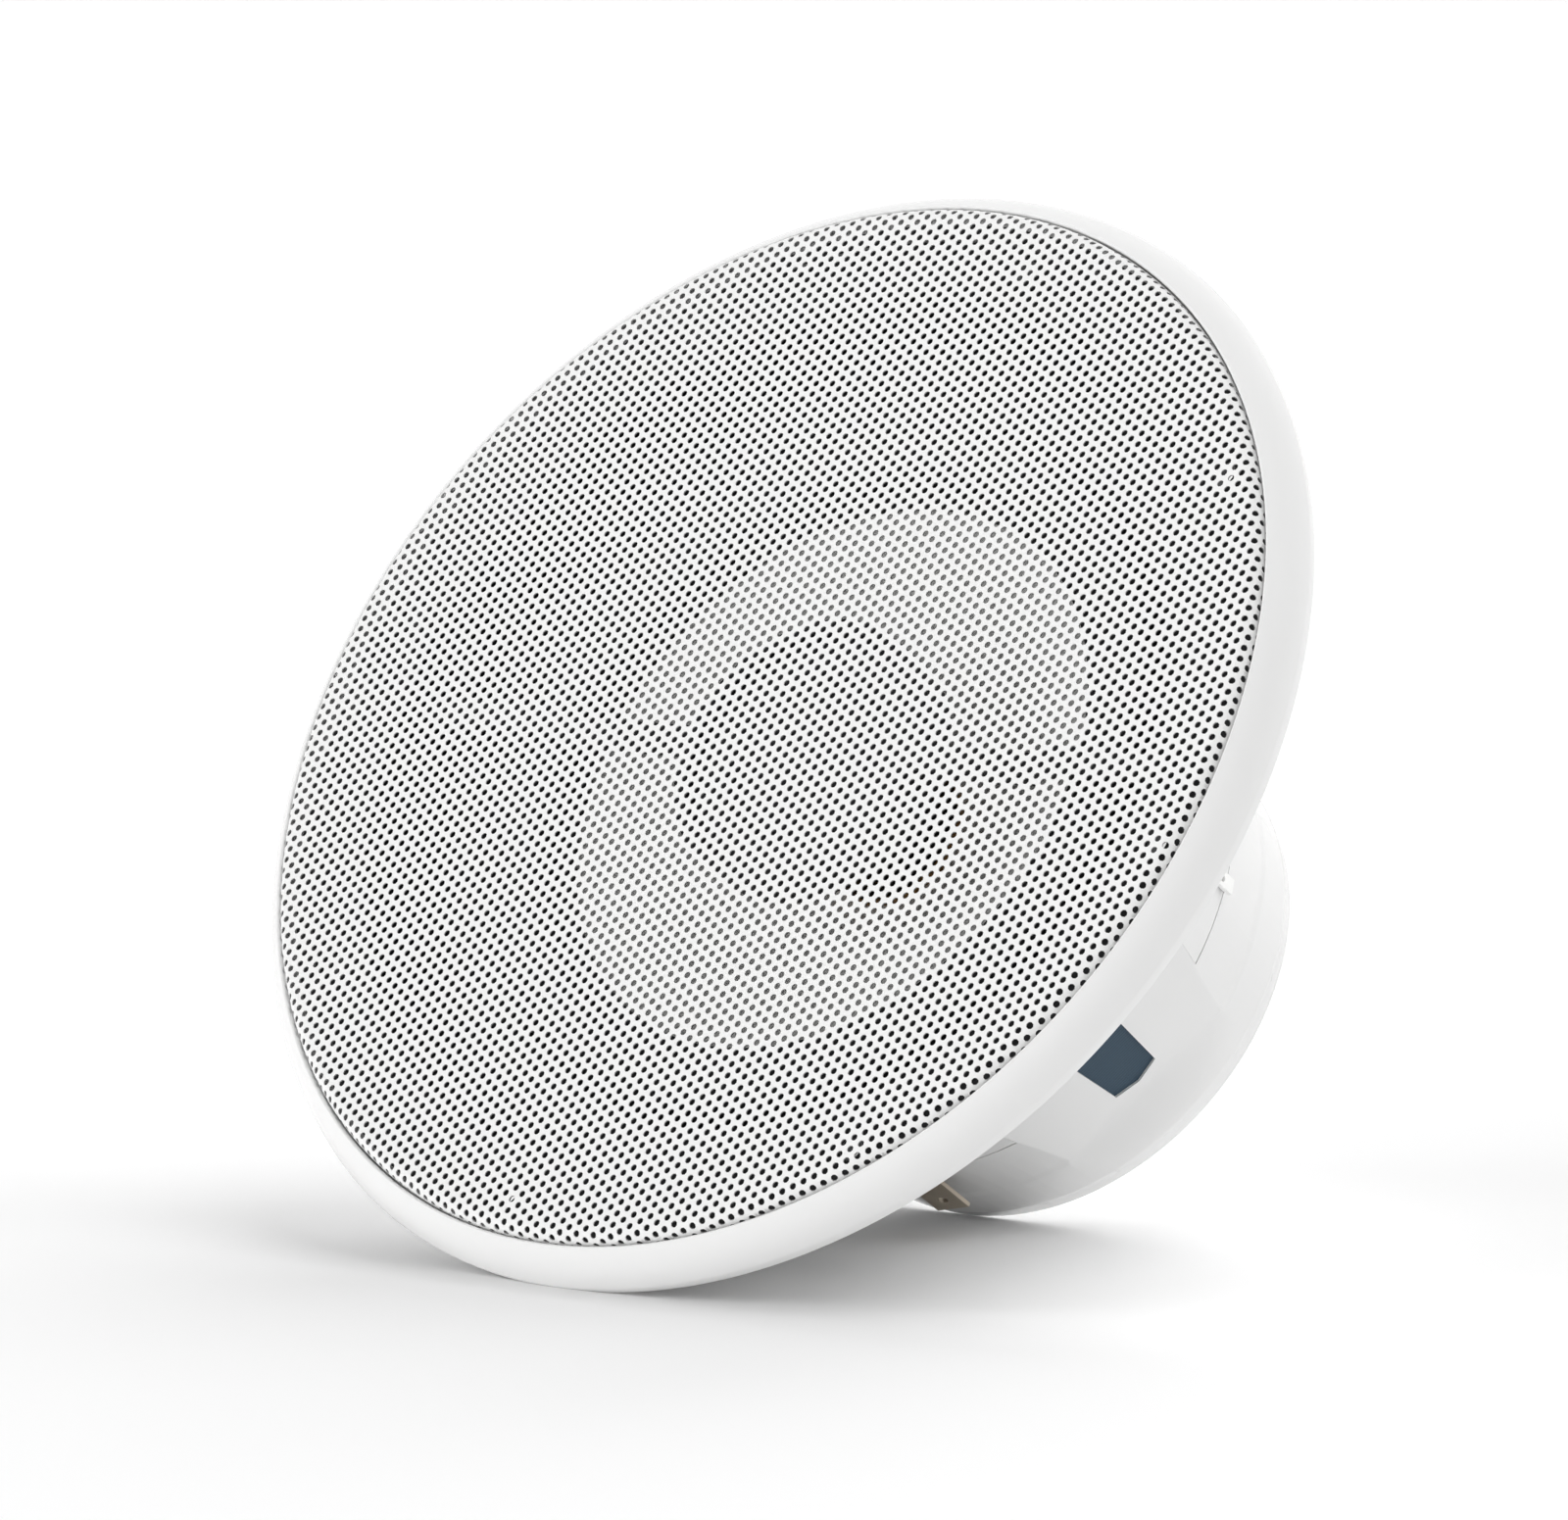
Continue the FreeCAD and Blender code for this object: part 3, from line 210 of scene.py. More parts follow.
class SpeakerFinishes(bpy.types.PropertyGroup):
    """Colours of the finishes."""

    white_plastic: tint("White plastic", "Glossy white mouldings", (0.815, 0.815, 0.812))
    white_coat: tint("White coat", "Powder coat of the grille", (0.84, 0.84, 0.835))
    # Painted shade: the near black that the walls of the grille's holes reach at the sheet's underside
    painted_hole_shade: tint("Hole wall", "Bare sheet deep inside the grille's holes", (0.05, 0.05, 0.05))
    white_cone: tint("White cone", "Satin cone", (0.90, 0.90, 0.88))
    black_rubber: tint("Black rubber", "Surround and gasket", (0.012, 0.012, 0.013))
    grey_foam: tint("Grey foam", "Mounting seal", (0.06, 0.06, 0.062))
    slate_coat: tint("Slate coat", "Coat of the magnet", (0.047, 0.088, 0.118))
    zinc: tint("Zinc", "Plated steel", (0.56, 0.56, 0.55))
    # Painted light: the pale, nearly matt finish of the blade that catches the light
    tin: tint("Tin", "Tinned blade", (0.95, 0.95, 0.94))
    # Painted shade: the darker finish of the blade in shade; both blades are the same tinned brass
    brass: tint("Brass", "Dull brass blade", (0.48, 0.42, 0.34))
    slate_screen: tint("Slate screen", "Dust screens behind the vent windows", (0.035, 0.070, 0.108))
    copper: tint("Copper", "Lacquered winding", (0.62, 0.27, 0.12))
    amber: tint("Amber", "Coil former", (0.40, 0.20, 0.06))
    cloth: tint("Cloth", "Spider", (0.58, 0.46, 0.24))
    dark_plastic: tint("Dark plastic", "Tweeter mouldings", (0.030, 0.030, 0.033))
    silk: tint("Silk", "Tweeter dome", (0.045, 0.045, 0.05))
    sleeve: tint("Sleeve", "Sleeve of the capacitor", (0.03, 0.07, 0.19))
    floor_white: tint("Floor", "Pale floor", (0.93, 0.93, 0.93))


class SpeakerStage(bpy.types.PropertyGroup):
    """Camera, floor and light."""

    camera_place: spot("Camera place", "Where the camera stands", (0.103735, -1.038922, 0.978547))
    camera_aim: spot("Camera aim", "Point in the middle of the picture", (-0.002377, -0.004259, 0.0))
    camera_roll: bearing("Camera roll", "Turn of the camera about its line of sight", 49.158)
    focal_px: factor("Focal length", "Focal length in the photograph's pixels", 8996.0)
    floor_azimuth: bearing("Floor azimuth", "Heading of the floor's upward direction", 32.46)
    floor_size: length("Floor size", "Side of the floor", 60000.0)
    floor_sink: length("Floor sink", "How far the speaker's edges sink into the floor", 0.35)
    sky_strength: factor("Sky", "Strength of the soft light from all round", 0.04)
    left_lamp: factor("Left lamp", "Strength of the low lamp at the left", 2.65)
    right_lamp: factor("Right lamp", "Strength of the low lamp at the right", 1.05)
    back_lamp: factor("Back lamp", "Strength of the lamp behind", 1.75)
    front_lamp: factor("Front lamp", "Strength of the low lamp in front", 0.65)
    high_lamp: factor("High lamp", "Strength of the lamp above", 1.2)
    lamp_spread: bearing("Lamp spread", "Apparent width of a lamp", 50.0)


def sizes():
    return bpy.context.scene.speaker_sizes


def finishes():
    return bpy.context.scene.speaker_finishes


def opaque(colour):
    return (*colour, 1.0)


def eased(share):
    """A share from 0 to 1 that starts and ends gently."""
    return share * share * (3 - 2 * share)


def cap_radius(reach, rise):
    """Radius of the sphere whose cap has this reach and rise."""
    return (reach ** 2 + rise ** 2) / (2 * rise)


# Node groups for effects that several finishes share

def add_socket(tree, name, way, kind, value=None):
    socket = tree.interface.new_socket(name=name, in_out=way, socket_type=kind)
    if value is not None:
        socket.default_value = value


def node_at(tree, kind, **settings):
    """A new node with its settings."""
    node = tree.nodes.new(kind)
    for setting, value in settings.items():
        setattr(node, setting, value)
    return node


def object_place(tree):
    return node_at(tree, "ShaderNodeTexCoord").outputs["Object"]


def noise_at(tree, place, detail):
    noise = node_at(tree, "ShaderNodeTexNoise")
    noise.inputs["Detail"].default_value = detail
    tree.links.new(place, noise.inputs["Vector"])
    return noise


def spread_at(tree, value, low, high):
    """A value from 0 to 1, moved to run from low to high."""
    spread = node_at(tree, "ShaderNodeMapRange")
    spread.inputs["To Min"].default_value = low
    spread.inputs["To Max"].default_value = high
    tree.links.new(value, spread.inputs["Value"])
    return spread.outputs["Result"]


def product_at(tree, first, second):
    product = node_at(tree, "ShaderNodeMath", operation="MULTIPLY")
    tree.links.new(first, product.inputs[0])
    tree.links.new(second, product.inputs[1])
    return product.outputs["Value"]


def shaded_at(tree, colour, shade, share):
    """A colour multiplied by a shade, as far as a share says."""
    mix = node_at(tree, "ShaderNodeMix", data_type="RGBA", blend_type="MULTIPLY")
    mix.inputs["B"].default_value = opaque(shade)
    tree.links.new(share, mix.inputs["Factor"])
    tree.links.new(colour, mix.inputs["A"])
    return mix.outputs["Result"]


def new_group(name, colour, values, results):
    """A new group with a colour and values going in, and a colour and results coming out."""
    tree = bpy.data.node_groups.new(name, "ShaderNodeTree")
    add_socket(tree, "Colour", "INPUT", "NodeSocketColor", opaque(colour))
    for socket, value in values.items():
        add_socket(tree, socket, "INPUT", "NodeSocketFloat", value)
    add_socket(tree, "Colour", "OUTPUT", "NodeSocketColor")
    for socket in results:
        add_socket(tree, socket, "OUTPUT", "NodeSocketFloat")
    given = node_at(tree, "NodeGroupInput").outputs
    made = node_at(tree, "NodeGroupOutput").inputs
    return tree, given, made


def skin_group():
    """Cloudy tone, patchy gloss and a fine surface grain, as moulded and coated pieces have."""
    if "surface_skin" in bpy.data.node_groups:
        return bpy.data.node_groups["surface_skin"]
    values = {"Cloud scale": 30.0, "Grain scale": 2000.0, "Tone change": 0.04,
              "Roughness low": 0.2, "Roughness high": 0.3}
    tree, given, made = new_group("surface_skin", (0.8, 0.8, 0.8), values, ("Roughness", "Height"))
    link = tree.links.new
    place = object_place(tree)
    cloud = noise_at(tree, place, 4.0)
    grain = noise_at(tree, place, 2.0)
    link(given["Cloud scale"], cloud.inputs["Scale"])
    link(given["Grain scale"], grain.inputs["Scale"])
    darker = product_at(tree, cloud.outputs["Fac"], given["Tone change"])
    gloss = node_at(tree, "ShaderNodeMapRange")
    link(cloud.outputs["Fac"], gloss.inputs["Value"])
    link(given["Roughness low"], gloss.inputs["To Min"])
    link(given["Roughness high"], gloss.inputs["To Max"])
    link(shaded_at(tree, given["Colour"], (0.0, 0.0, 0.0), darker), made["Colour"])
    link(gloss.outputs["Result"], made["Roughness"])
    link(grain.outputs["Fac"], made["Height"])
    return tree


def weave_group():
    """Crossing threads for cloth and silk."""
    if "cloth_weave" in bpy.data.node_groups:
        return bpy.data.node_groups["cloth_weave"]
    tree, given, made = new_group("cloth_weave", (0.5, 0.4, 0.2), {"Threads": 1200.0}, ("Height",))
    link = tree.links.new
    place = object_place(tree)
    waves = []
    for direction in ("X", "Y"):
        wave = node_at(tree, "ShaderNodeTexWave", bands_direction=direction)
        wave.inputs["Distortion"].default_value = 0.6
        link(place, wave.inputs["Vector"])
        link(given["Threads"], wave.inputs["Scale"])
        waves.append(wave.outputs["Fac"])
    cross = product_at(tree, *waves)
    link(shaded_at(tree, given["Colour"], (0.45, 0.42, 0.38), cross), made["Colour"])
    link(cross, made["Height"])
    return tree


# Finishes

def blank_finish(name):
    """A new material with its tree and its shader."""
    finish = bpy.data.materials.new(name)
    finish.use_nodes = True
    tree = finish.node_tree
    return finish, tree, tree.nodes["Principled BSDF"]


def bump_into(tree, shader, height, strength, depth):
    bump = node_at(tree, "ShaderNodeBump")
    bump.inputs["Strength"].default_value = strength
    bump.inputs["Distance"].default_value = depth
    tree.links.new(height, bump.inputs["Height"])
    tree.links.new(bump.outputs["Normal"], shader.inputs["Normal"])


def colour_between(tree, shader, share, first, second):
    """Lets the base colour go from the first to the second with a share."""
    mix = node_at(tree, "ShaderNodeMix", data_type="RGBA")
    mix.inputs["A"].default_value = opaque(first)
    mix.inputs["B"].default_value = opaque(second)
    tree.links.new(share, mix.inputs["Factor"])
    tree.links.new(mix.outputs["Result"], shader.inputs["Base Color"])


def patchy_roughness(tree, shader, low, high):
    """Lets the roughness change in small patches, from low to high."""
    noise = noise_at(tree, object_place(tree), 3.0)
    noise.inputs["Scale"].default_value = PATCH_SCALE
    tree.links.new(spread_at(tree, noise.outputs["Fac"], low, high), shader.inputs["Roughness"])


def grouped_finish(name, group, values, bump, depth):
    """A new finish whose colour and relief come from a node group."""
    finish, tree, shader = blank_finish(name)
    made = node_at(tree, "ShaderNodeGroup", node_tree=group)
    for socket, value in values.items():
        made.inputs[socket].default_value = value
    tree.links.new(made.outputs["Colour"], shader.inputs["Base Color"])
    bump_into(tree, shader, made.outputs["Height"], bump, depth)
    return finish, tree, shader, made


def skinned_finish(name, colour, roughness, cloud, grain, tone, bump, metal=0.0, coat=0.0, depth=0.0001):
    """A moulded, coated or plated surface with the shared skin."""
    if name in bpy.data.materials:
        return bpy.data.materials[name]
    values = {"Colour": opaque(colour), "Cloud scale": cloud, "Grain scale": grain, "Tone change": tone,
              "Roughness low": roughness[0], "Roughness high": roughness[1]}
    finish, tree, shader, skin = grouped_finish(name, skin_group(), values, bump, depth)
    tree.links.new(skin.outputs["Roughness"], shader.inputs["Roughness"])
    shader.inputs["Metallic"].default_value = metal
    shader.inputs["Coat Weight"].default_value = coat
    shader.inputs["Coat Roughness"].default_value = COAT_ROUGHNESS
    return finish


def woven_finish(name, colour, threads, roughness, depth):
    """A cloth with the shared weave."""
    if name in bpy.data.materials:
        return bpy.data.materials[name]
    values = {"Colour": opaque(colour), "Threads": threads}
    finish, tree, shader, weave = grouped_finish(name, weave_group(), values, WEAVE_BUMP, depth)
    shader.inputs["Roughness"].default_value = roughness
    return finish


def glossy_white():
    return skinned_finish("glossy_white_moulding", finishes().white_plastic, (0.16, 0.22),
                          cloud=22.0, grain=420.0, tone=0.02, bump=0.02, coat=0.25)


def powder_coat():
    return skinned_finish("white_powder_coat", finishes().white_coat, (0.42, 0.52),
                          cloud=40.0, grain=3200.0, tone=0.03, bump=0.06)


def painted_hole_shade():
    """Painted shade in the grille's holes: the walls darken from the coat's white at a hole's mouth to near
    black at the sheet's underside.
    """
    name = "thin_coat_in_holes"
    if name in bpy.data.materials:
        return bpy.data.materials[name]
    finish, tree, shader = blank_finish(name)
    # The depth runs from 0 at a hole's mouth to 1 at the underside and sets how far the shade is painted in
    depth = node_at(tree, "ShaderNodeAttribute", attribute_name="depth")
    colour_between(tree, shader, depth.outputs["Fac"], finishes().white_coat, finishes().painted_hole_shade)
    patchy_roughness(tree, shader, 0.5, 0.6)
    return finish


def satin_cone():
    return skinned_finish("satin_white_cone", finishes().white_cone, (0.34, 0.46),
                          cloud=60.0, grain=1500.0, tone=0.06, bump=0.08)


def matt_rubber():
    return skinned_finish("matt_black_rubber", finishes().black_rubber, (0.5, 0.66),
                          cloud=90.0, grain=2600.0, tone=0.25, bump=0.12)


def sealing_foam():
    return skinned_finish("sealing_foam", finishes().grey_foam, (0.8, 0.95),
                          cloud=300.0, grain=1800.0, tone=0.45, bump=0.5, depth=0.0004)


def slate_magnet():
    return skinned_finish("slate_magnet_coat", finishes().slate_coat, (0.36, 0.5),
                          cloud=120.0, grain=1600.0, tone=0.12, bump=0.1)


def zinc_plate():
    return skinned_finish("zinc_plate", finishes().zinc, (0.26, 0.42),
                          cloud=160.0, grain=2400.0, tone=0.16, bump=0.05, metal=1.0)


# Painted light: a pale, nearly matt copy of the blades' tinned brass, for the blade in the light
def bright_tin():
    return skinned_finish("bright_tin", finishes().tin, (0.14, 0.24),
                          cloud=260.0, grain=3000.0, tone=0.04, bump=0.05, metal=0.1)


# Painted shade: a darker copy of the blades' tinned brass, for the blade in shade
def dull_brass():
    return skinned_finish("dull_brass", finishes().brass, (0.24, 0.36),
                          cloud=260.0, grain=3000.0, tone=0.2, bump=0.05, metal=1.0)


def dark_moulding():
    return skinned_finish("dark_moulding", finishes().dark_plastic, (0.38, 0.5),
                          cloud=70.0, grain=1300.0, tone=0.15, bump=0.08)


def sleeve_film():
    return skinned_finish("sleeve_film", finishes().sleeve, (0.2, 0.32),
                          cloud=200.0, grain=900.0, tone=0.12, bump=0.05)


def amber_film():
    return skinned_finish("amber_former_film", finishes().amber, (0.25, 0.4),
                          cloud=300.0, grain=1500.0, tone=0.2, bump=0.05)


def copper_winding():
    """Fine turns of wire, one above the other, with painted shade in the grooves between them."""
    name = "copper_winding"
    if name in bpy.data.materials:
        return bpy.data.materials[name]
    finish, tree, shader = blank_finish(name)
    turns = node_at(tree, "ShaderNodeTexWave", bands_direction="Z")
    turns.inputs["Scale"].default_value = 900.0
    tree.links.new(object_place(tree), turns.inputs["Vector"])
    copper = finishes().copper
    # Painted shade: the grooves between the turns are coloured darker
    painted_shade_between_turns = [part * 0.35 for part in copper]
    colour_between(tree, shader, turns.outputs["Fac"], painted_shade_between_turns, copper)
    patchy_roughness(tree, shader, 0.25, 0.4)
    bump_into(tree, shader, turns.outputs["Fac"], 0.7, 0.0001)
    shader.inputs["Metallic"].default_value = 1.0
    return finish


def spider_cloth():
    return woven_finish("spider_cloth", finishes().cloth, 900.0, 0.85, 0.0002)


def screen_cloth():
    return woven_finish("vent_screen_cloth", finishes().slate_screen, 4200.0, 0.7, 0.00003)


def dome_silk():
    return woven_finish("dome_silk", finishes().silk, 1600.0, 0.6, 0.0001)


# Modelling helpers

def add_object(name, data):
    added = bpy.data.objects.new(name, data)
    bpy.context.scene.collection.objects.link(added)
    return added


def new_piece(bm, name, material, nodes, sharp):
    """Makes a piece's object, with smooth faces and sharp corners."""
    for face in bm.faces:
        face.smooth = True
    for edge in bm.edges:
        edge.smooth = len(edge.link_faces) != 2 or edge.calc_face_angle(0.0) < sharp
    mesh = bpy.data.meshes.new(name)
    bm.to_mesh(mesh)
    bm.free()
    mesh.materials.append(material)
    piece = add_object(name, mesh)
    if nodes:
        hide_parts(*nodes)
    return piece


def finish_mesh(bm, name, material, slot, *nodes, sharp=CORNER):
    """Makes a rigid piece that stays with the frame."""
    piece = new_piece(bm, name, material, nodes, sharp)
    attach(piece, STILL)
    return piece


def even_shading(piece):
    """Lets the large faces of a piece lead the shading of its soft corners."""
    shading = piece.modifiers.new("even_shading", "WEIGHTED_NORMAL")
    shading.keep_sharp = True


def finish_flexing(bm, name, material, node, inner, outer):
    """Makes a ring that flexes: its inside follows the cone and its outside stays with the frame."""
    piece = new_piece(bm, name, material, (node,), CORNER)
    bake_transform(piece, STILL, MOVING, (outer, 0.0, 0.0), (inner, 0.0, 0.0))
    shares = piece.data.attributes["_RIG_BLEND"]
    for vert in piece.data.vertices:
        reach = math.hypot(vert.co.x, vert.co.y)
        share = min(max((outer - reach) / (outer - inner), 0.0), 1.0)
        shares.data[vert.index].value = eased(share)


def arc_points(centre, radius, first, last, steps):
    """Corners along a round stretch of a profile, from one angle to another in degrees."""
    angles = [math.radians(first + (last - first) * step / steps) for step in range(steps + 1)]
    return [(centre[0] + radius * math.cos(a), centre[1] + radius * math.sin(a)) for a in angles]


def crowned_line(start, end, rise, steps):
    """Points along a line that bulges to its left by a rise."""
    run = (end[0] - start[0], end[1] - start[1])
    span = math.hypot(*run)
    left = (-run[1] / span, run[0] / span)
    points = []
    for step in range(steps + 1):
        share = step / steps
        lift = 4 * rise * share * (1 - share)
        points.append((start[0] + run[0] * share + left[0] * lift,
                       start[1] + run[1] * share + left[1] * lift))
    return points


def turned_mesh(profile, closed=True):
    """A profile of (radius, z) points, spun about the speaker axis."""
    bm = bmesh.new()
    corners = [bm.verts.new((radius, 0.0, z)) for radius, z in profile]
    edges = [bm.edges.new((a, b)) for a, b in zip(corners, corners[1:])]
    if closed:
        edges.append(bm.edges.new((corners[-1], corners[0])))
    bmesh.ops.spin(bm, geom=corners + edges, cent=(0, 0, 0), axis=(0, 0, 1), angle=FULL_TURN,
                   steps=sizes().turn_steps, use_merge=True)
    bmesh.ops.remove_doubles(bm, verts=bm.verts, dist=MERGE)
    bmesh.ops.recalc_face_normals(bm, faces=bm.faces)
    return bm


def merged_copy(node):
    """A copy of a solid with its loose triangles joined into whole faces."""
    bm = bmesh.new()
    bm.from_mesh(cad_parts[node].data)
    bmesh.ops.remove_doubles(bm, verts=bm.verts, dist=MERGE)
    bmesh.ops.dissolve_limit(bm, angle_limit=SAME_FACE, verts=bm.verts, edges=bm.edges)
    return bm


def creases(bm, angle):
    """The edges at which two faces meet at more than an angle."""
    return [edge for edge in bm.edges
            if len(edge.link_faces) == 2 and edge.calc_face_angle(0.0) > angle]


def soften(bm, edges, width):
    bmesh.ops.bevel(bm, geom=edges, offset=width, offset_type="OFFSET", segments=EDGE_SEGMENTS,
                    profile=0.5, affect="EDGES", clamp_overlap=False, material=-1)


def dress(node, material):
    """Gives a solid that stays in view its finish."""
    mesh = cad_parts[node].data
    mesh.materials.clear()
    mesh.materials.append(material)


# Grille mesh

def punched_cell(bm, place):
    """One six-sided cell of the sheet with its hole."""
    at = Matrix.Translation(place)
    size = sizes()
    outer = bmesh.ops.create_circle(bm, segments=6, radius=size.hole_pitch / math.sqrt(3), matrix=at)
    inner = bmesh.ops.create_circle(bm, segments=size.hole_sides, radius=size.hole_diameter / 2, matrix=at)
    loops = {edge for vert in outer["verts"] + inner["verts"] for edge in vert.link_edges}
    bmesh.ops.bridge_loops(bm, edges=list(loops))


def repeat(bm, count, step):
    """Copies all that is there, count times either way along a step."""
    geom = bm.verts[:] + bm.edges[:] + bm.faces[:]
    for index in range(-count, count + 1):
        if index == 0:
            continue
        copy = bmesh.ops.duplicate(bm, geom=geom)["geom"]
        verts = [item for item in copy if isinstance(item, bmesh.types.BMVert)]
        bmesh.ops.translate(bm, verts=verts, vec=step * index)


def cell_centre(point, pitch):
    """The middle of the cell that a point of the flat sheet lies in."""
    row = pitch * math.sqrt(3)
    found = []
    for shift in (0.0, 0.5):
        x = (round(point.x / pitch - shift) + shift) * pitch
        y = (round(point.y / row - shift) + shift) * row
        found.append(Vector((x, y, 0.0)))
    flat = Vector((point.x, point.y, 0.0))
    return min(found, key=lambda middle: (middle - flat).length_squared)


def flat_sheet():
    """The flat punched disc, cut to the cells whose middles lie within the hole field."""
    size = sizes()
    pitch = size.hole_pitch
    row = pitch * math.sqrt(3)
    bm = bmesh.new()
    punched_cell(bm, Vector((0, 0, 0)))
    punched_cell(bm, Vector((pitch / 2, row / 2, 0)))
    repeat(bm, int(size.hole_field / pitch) + 1, Vector((pitch, 0, 0)))
    repeat(bm, int(size.hole_field / row) + 1, Vector((0, row, 0)))
    outside = [face for face in bm.faces
               if cell_centre(face.calc_center_median(), pitch).length > size.hole_field]
    bmesh.ops.delete(bm, geom=outside, context="FACES")
    bmesh.ops.remove_doubles(bm, verts=bm.verts, dist=MERGE)
    return bm


def round_off(bm, edge_radius):
    """Draws the ragged outer cells out to a round edge and returns its edge loop."""
    size = sizes()
    hole = size.hole_diameter * HOLE_REACH
    rim = []
    for edge in bm.edges:
        if not edge.is_boundary:
            continue
        middle = cell_centre(edge.link_faces[0].calc_center_median(), size.hole_pitch)
        if all((vert.co - middle).length > hole for vert in edge.verts):
            rim.append(edge)
    for vert in {vert for edge in rim for vert in edge.verts}:
        vert.co *= edge_radius / vert.co.length
    return rim


def widen(bm, rim, radius):
    """Draws a round edge out to a larger one."""
    geom = bmesh.ops.extrude_edge_only(bm, edges=rim)["geom"]
    for vert in geom:
        if isinstance(vert, bmesh.types.BMVert):
            vert.co *= radius / vert.co.length


def roll_start():
    """Radius at which the grille's dome ends and its rolled rim begins."""
    return sizes().mesh_radius - sizes().rim_roll


def dome_sphere():
    """Radius of the sphere that the grille's dome is a cap of."""
    return cap_radius(roll_start(), sizes().dome_drop)


def roll_length():
    """Length of the rim's quarter turn along the sheet."""
    return sizes().rim_roll * math.pi / 2


def roll_foot():
    """Height at which the rolled rim ends and the straight skirt begins."""
    return MESH_HIGH.z - sizes().dome_drop - sizes().rim_roll


def press_dome(bm):
    """Presses the flat disc into its dome, rolled rim and straight skirt."""
    roll = sizes().rim_roll
    start = roll_start()
    sphere = dome_sphere()
    quarter = roll_length()
    top = MESH_HIGH.z - sizes().dome_drop
    for vert in bm.verts:
        flat = vert.co.length
        if flat <= start:
            vert.co.z = MESH_HIGH.z - sphere + math.sqrt(sphere ** 2 - flat ** 2)
            continue
        along = flat - start
        turn = min(along, quarter) / roll
        scale = (start + roll * math.sin(turn)) / flat
        height = top - roll * (1 - math.cos(turn)) - max(along - quarter, 0.0)
        vert.co = Vector((vert.co.x * scale, vert.co.y * scale, height))


def sheet_normal(point):
    """The outward direction of the pressed sheet at a point."""
    reach = math.hypot(point.x, point.y)
    start = roll_start()
    if reach <= start:
        middle = Vector((0.0, 0.0, MESH_HIGH.z - dome_sphere()))
    else:
        share = start / reach
        middle = Vector((point.x * share, point.y * share, min(roll_foot(), point.z)))
    return (point - middle).normalized()


def thicken(bm):
    """Gives the pressed sheet its thickness, inwards from the outside."""
    made = bmesh.ops.extrude_face_region(bm, geom=bm.faces[:], use_keep_orig=True)["geom"]
    for item in made:
        if isinstance(item, bmesh.types.BMVert):
            item.co -= sheet_normal(item.co) * sizes().sheet
    bmesh.ops.recalc_face_normals(bm, faces=bm.faces)


def mark_hole_walls(bm):
    """Gives the faces inside the holes the second finish, with its painted shade, and notes which corners
    lie deep, where that shade is darkest.
    """
    depth = bm.verts.layers.float.new("depth")
    for face in bm.faces:
        face.normal_update()
        across = face.normal.dot(sheet_normal(face.calc_center_median()))
        face.material_index = int(abs(across) < FACING)
        if across < -FACING:
            for vert in face.verts:
                vert[depth] = 1.0


def make_grille_mesh():
    """The punched and pressed sheet, in two halves that meet along a row of holes."""
    size = sizes()
    sheet = flat_sheet()
    rim = round_off(sheet, size.hole_field + size.hole_pitch / 2)
    widen(sheet, rim, roll_start() + roll_length() + roll_foot() - MESH_LOW.z)
    half_layer = sheet.faces.layers.int.new("half")
    for face in sheet.faces:
        middle = cell_centre(face.calc_center_median(), size.hole_pitch)
        face[half_layer] = int(middle.y > -size.hole_pitch / 4)
    press_dome(sheet)
    bmesh.ops.rotate(sheet, verts=sheet.verts, cent=(0, 0, 0),
                     matrix=Matrix.Rotation(size.pattern_turn, 3, "Z"))
    for face in sheet.faces:
        face.normal_update()
    if sum(face.normal.z for face in sheet.faces) < 0:
        bmesh.ops.reverse_faces(sheet, faces=sheet.faces)
    for name, side in (("grille_mesh_upper", 1), ("grille_mesh_lower", 0)):
        half = sheet.copy()
        layer = half.faces.layers.int["half"]
        other = [face for face in half.faces if face[layer] != side]
        bmesh.ops.delete(half, geom=other, context="FACES")
        thicken(half)
        mark_hole_walls(half)
        piece = finish_mesh(half, name, powder_coat(), "white_mesh", "grille_mesh")
        # The walls of the holes get the finish with the painted shade
        piece.data.materials.append(painted_hole_shade())
    sheet.free()


# Grille ring

def ring_profile():
    size = sizes()
    outer = RING_HIGH.x
    lip = outer - size.lip_width
    top = RING_HIGH.z
    soft = size.lip_round
    skirt = outer - size.ring_skirt
    shelf_top = size.shelf_low + size.shelf_thick
    shelf_inner = lip - soft - size.ring_shelf
    crown = crowned_line((lip, top), (outer, size.ring_widest), size.ring_bulge, CROWN_STEPS)
    profile = arc_points((lip, top - soft), soft, 180, 90, LIP_STEPS)[:-1]
    profile += crown
    profile += [(outer - size.ring_foot, 0.0), (skirt, 0.0), (skirt, size.shelf_low)]
    profile += [(shelf_inner, size.shelf_low), (shelf_inner, shelf_top), (lip - soft, shelf_top)]
    return profile


def make_grille_ring():
    bm = turned_mesh(ring_profile())
    finish_mesh(bm, "grille_ring_moulding", glossy_white(), "white_plastic", "grille_ring",
                sharp=MOULDED_CORNER)


# Suspension and strip

def make_surround():
    size = sizes()
    low = SURROUND_LOW.z
    high = low + size.surround_skin
    centre = size.roll_centre
    profile = [(size.surround_inner, high), (size.surround_inner, low)]
    profile += arc_points((centre, low), size.roll_radius - size.surround_skin, 180, 0, ROLL_STEPS)
    profile += [(SURROUND_HIGH.x, low), (SURROUND_HIGH.x, high)]
    profile += arc_points((centre, high), size.roll_radius, 0, 180, ROLL_STEPS)
    bm = turned_mesh(profile)
    finish_flexing(bm, "surround_rubber", matt_rubber(), "surround",
                   centre - size.roll_radius, centre + size.roll_radius)


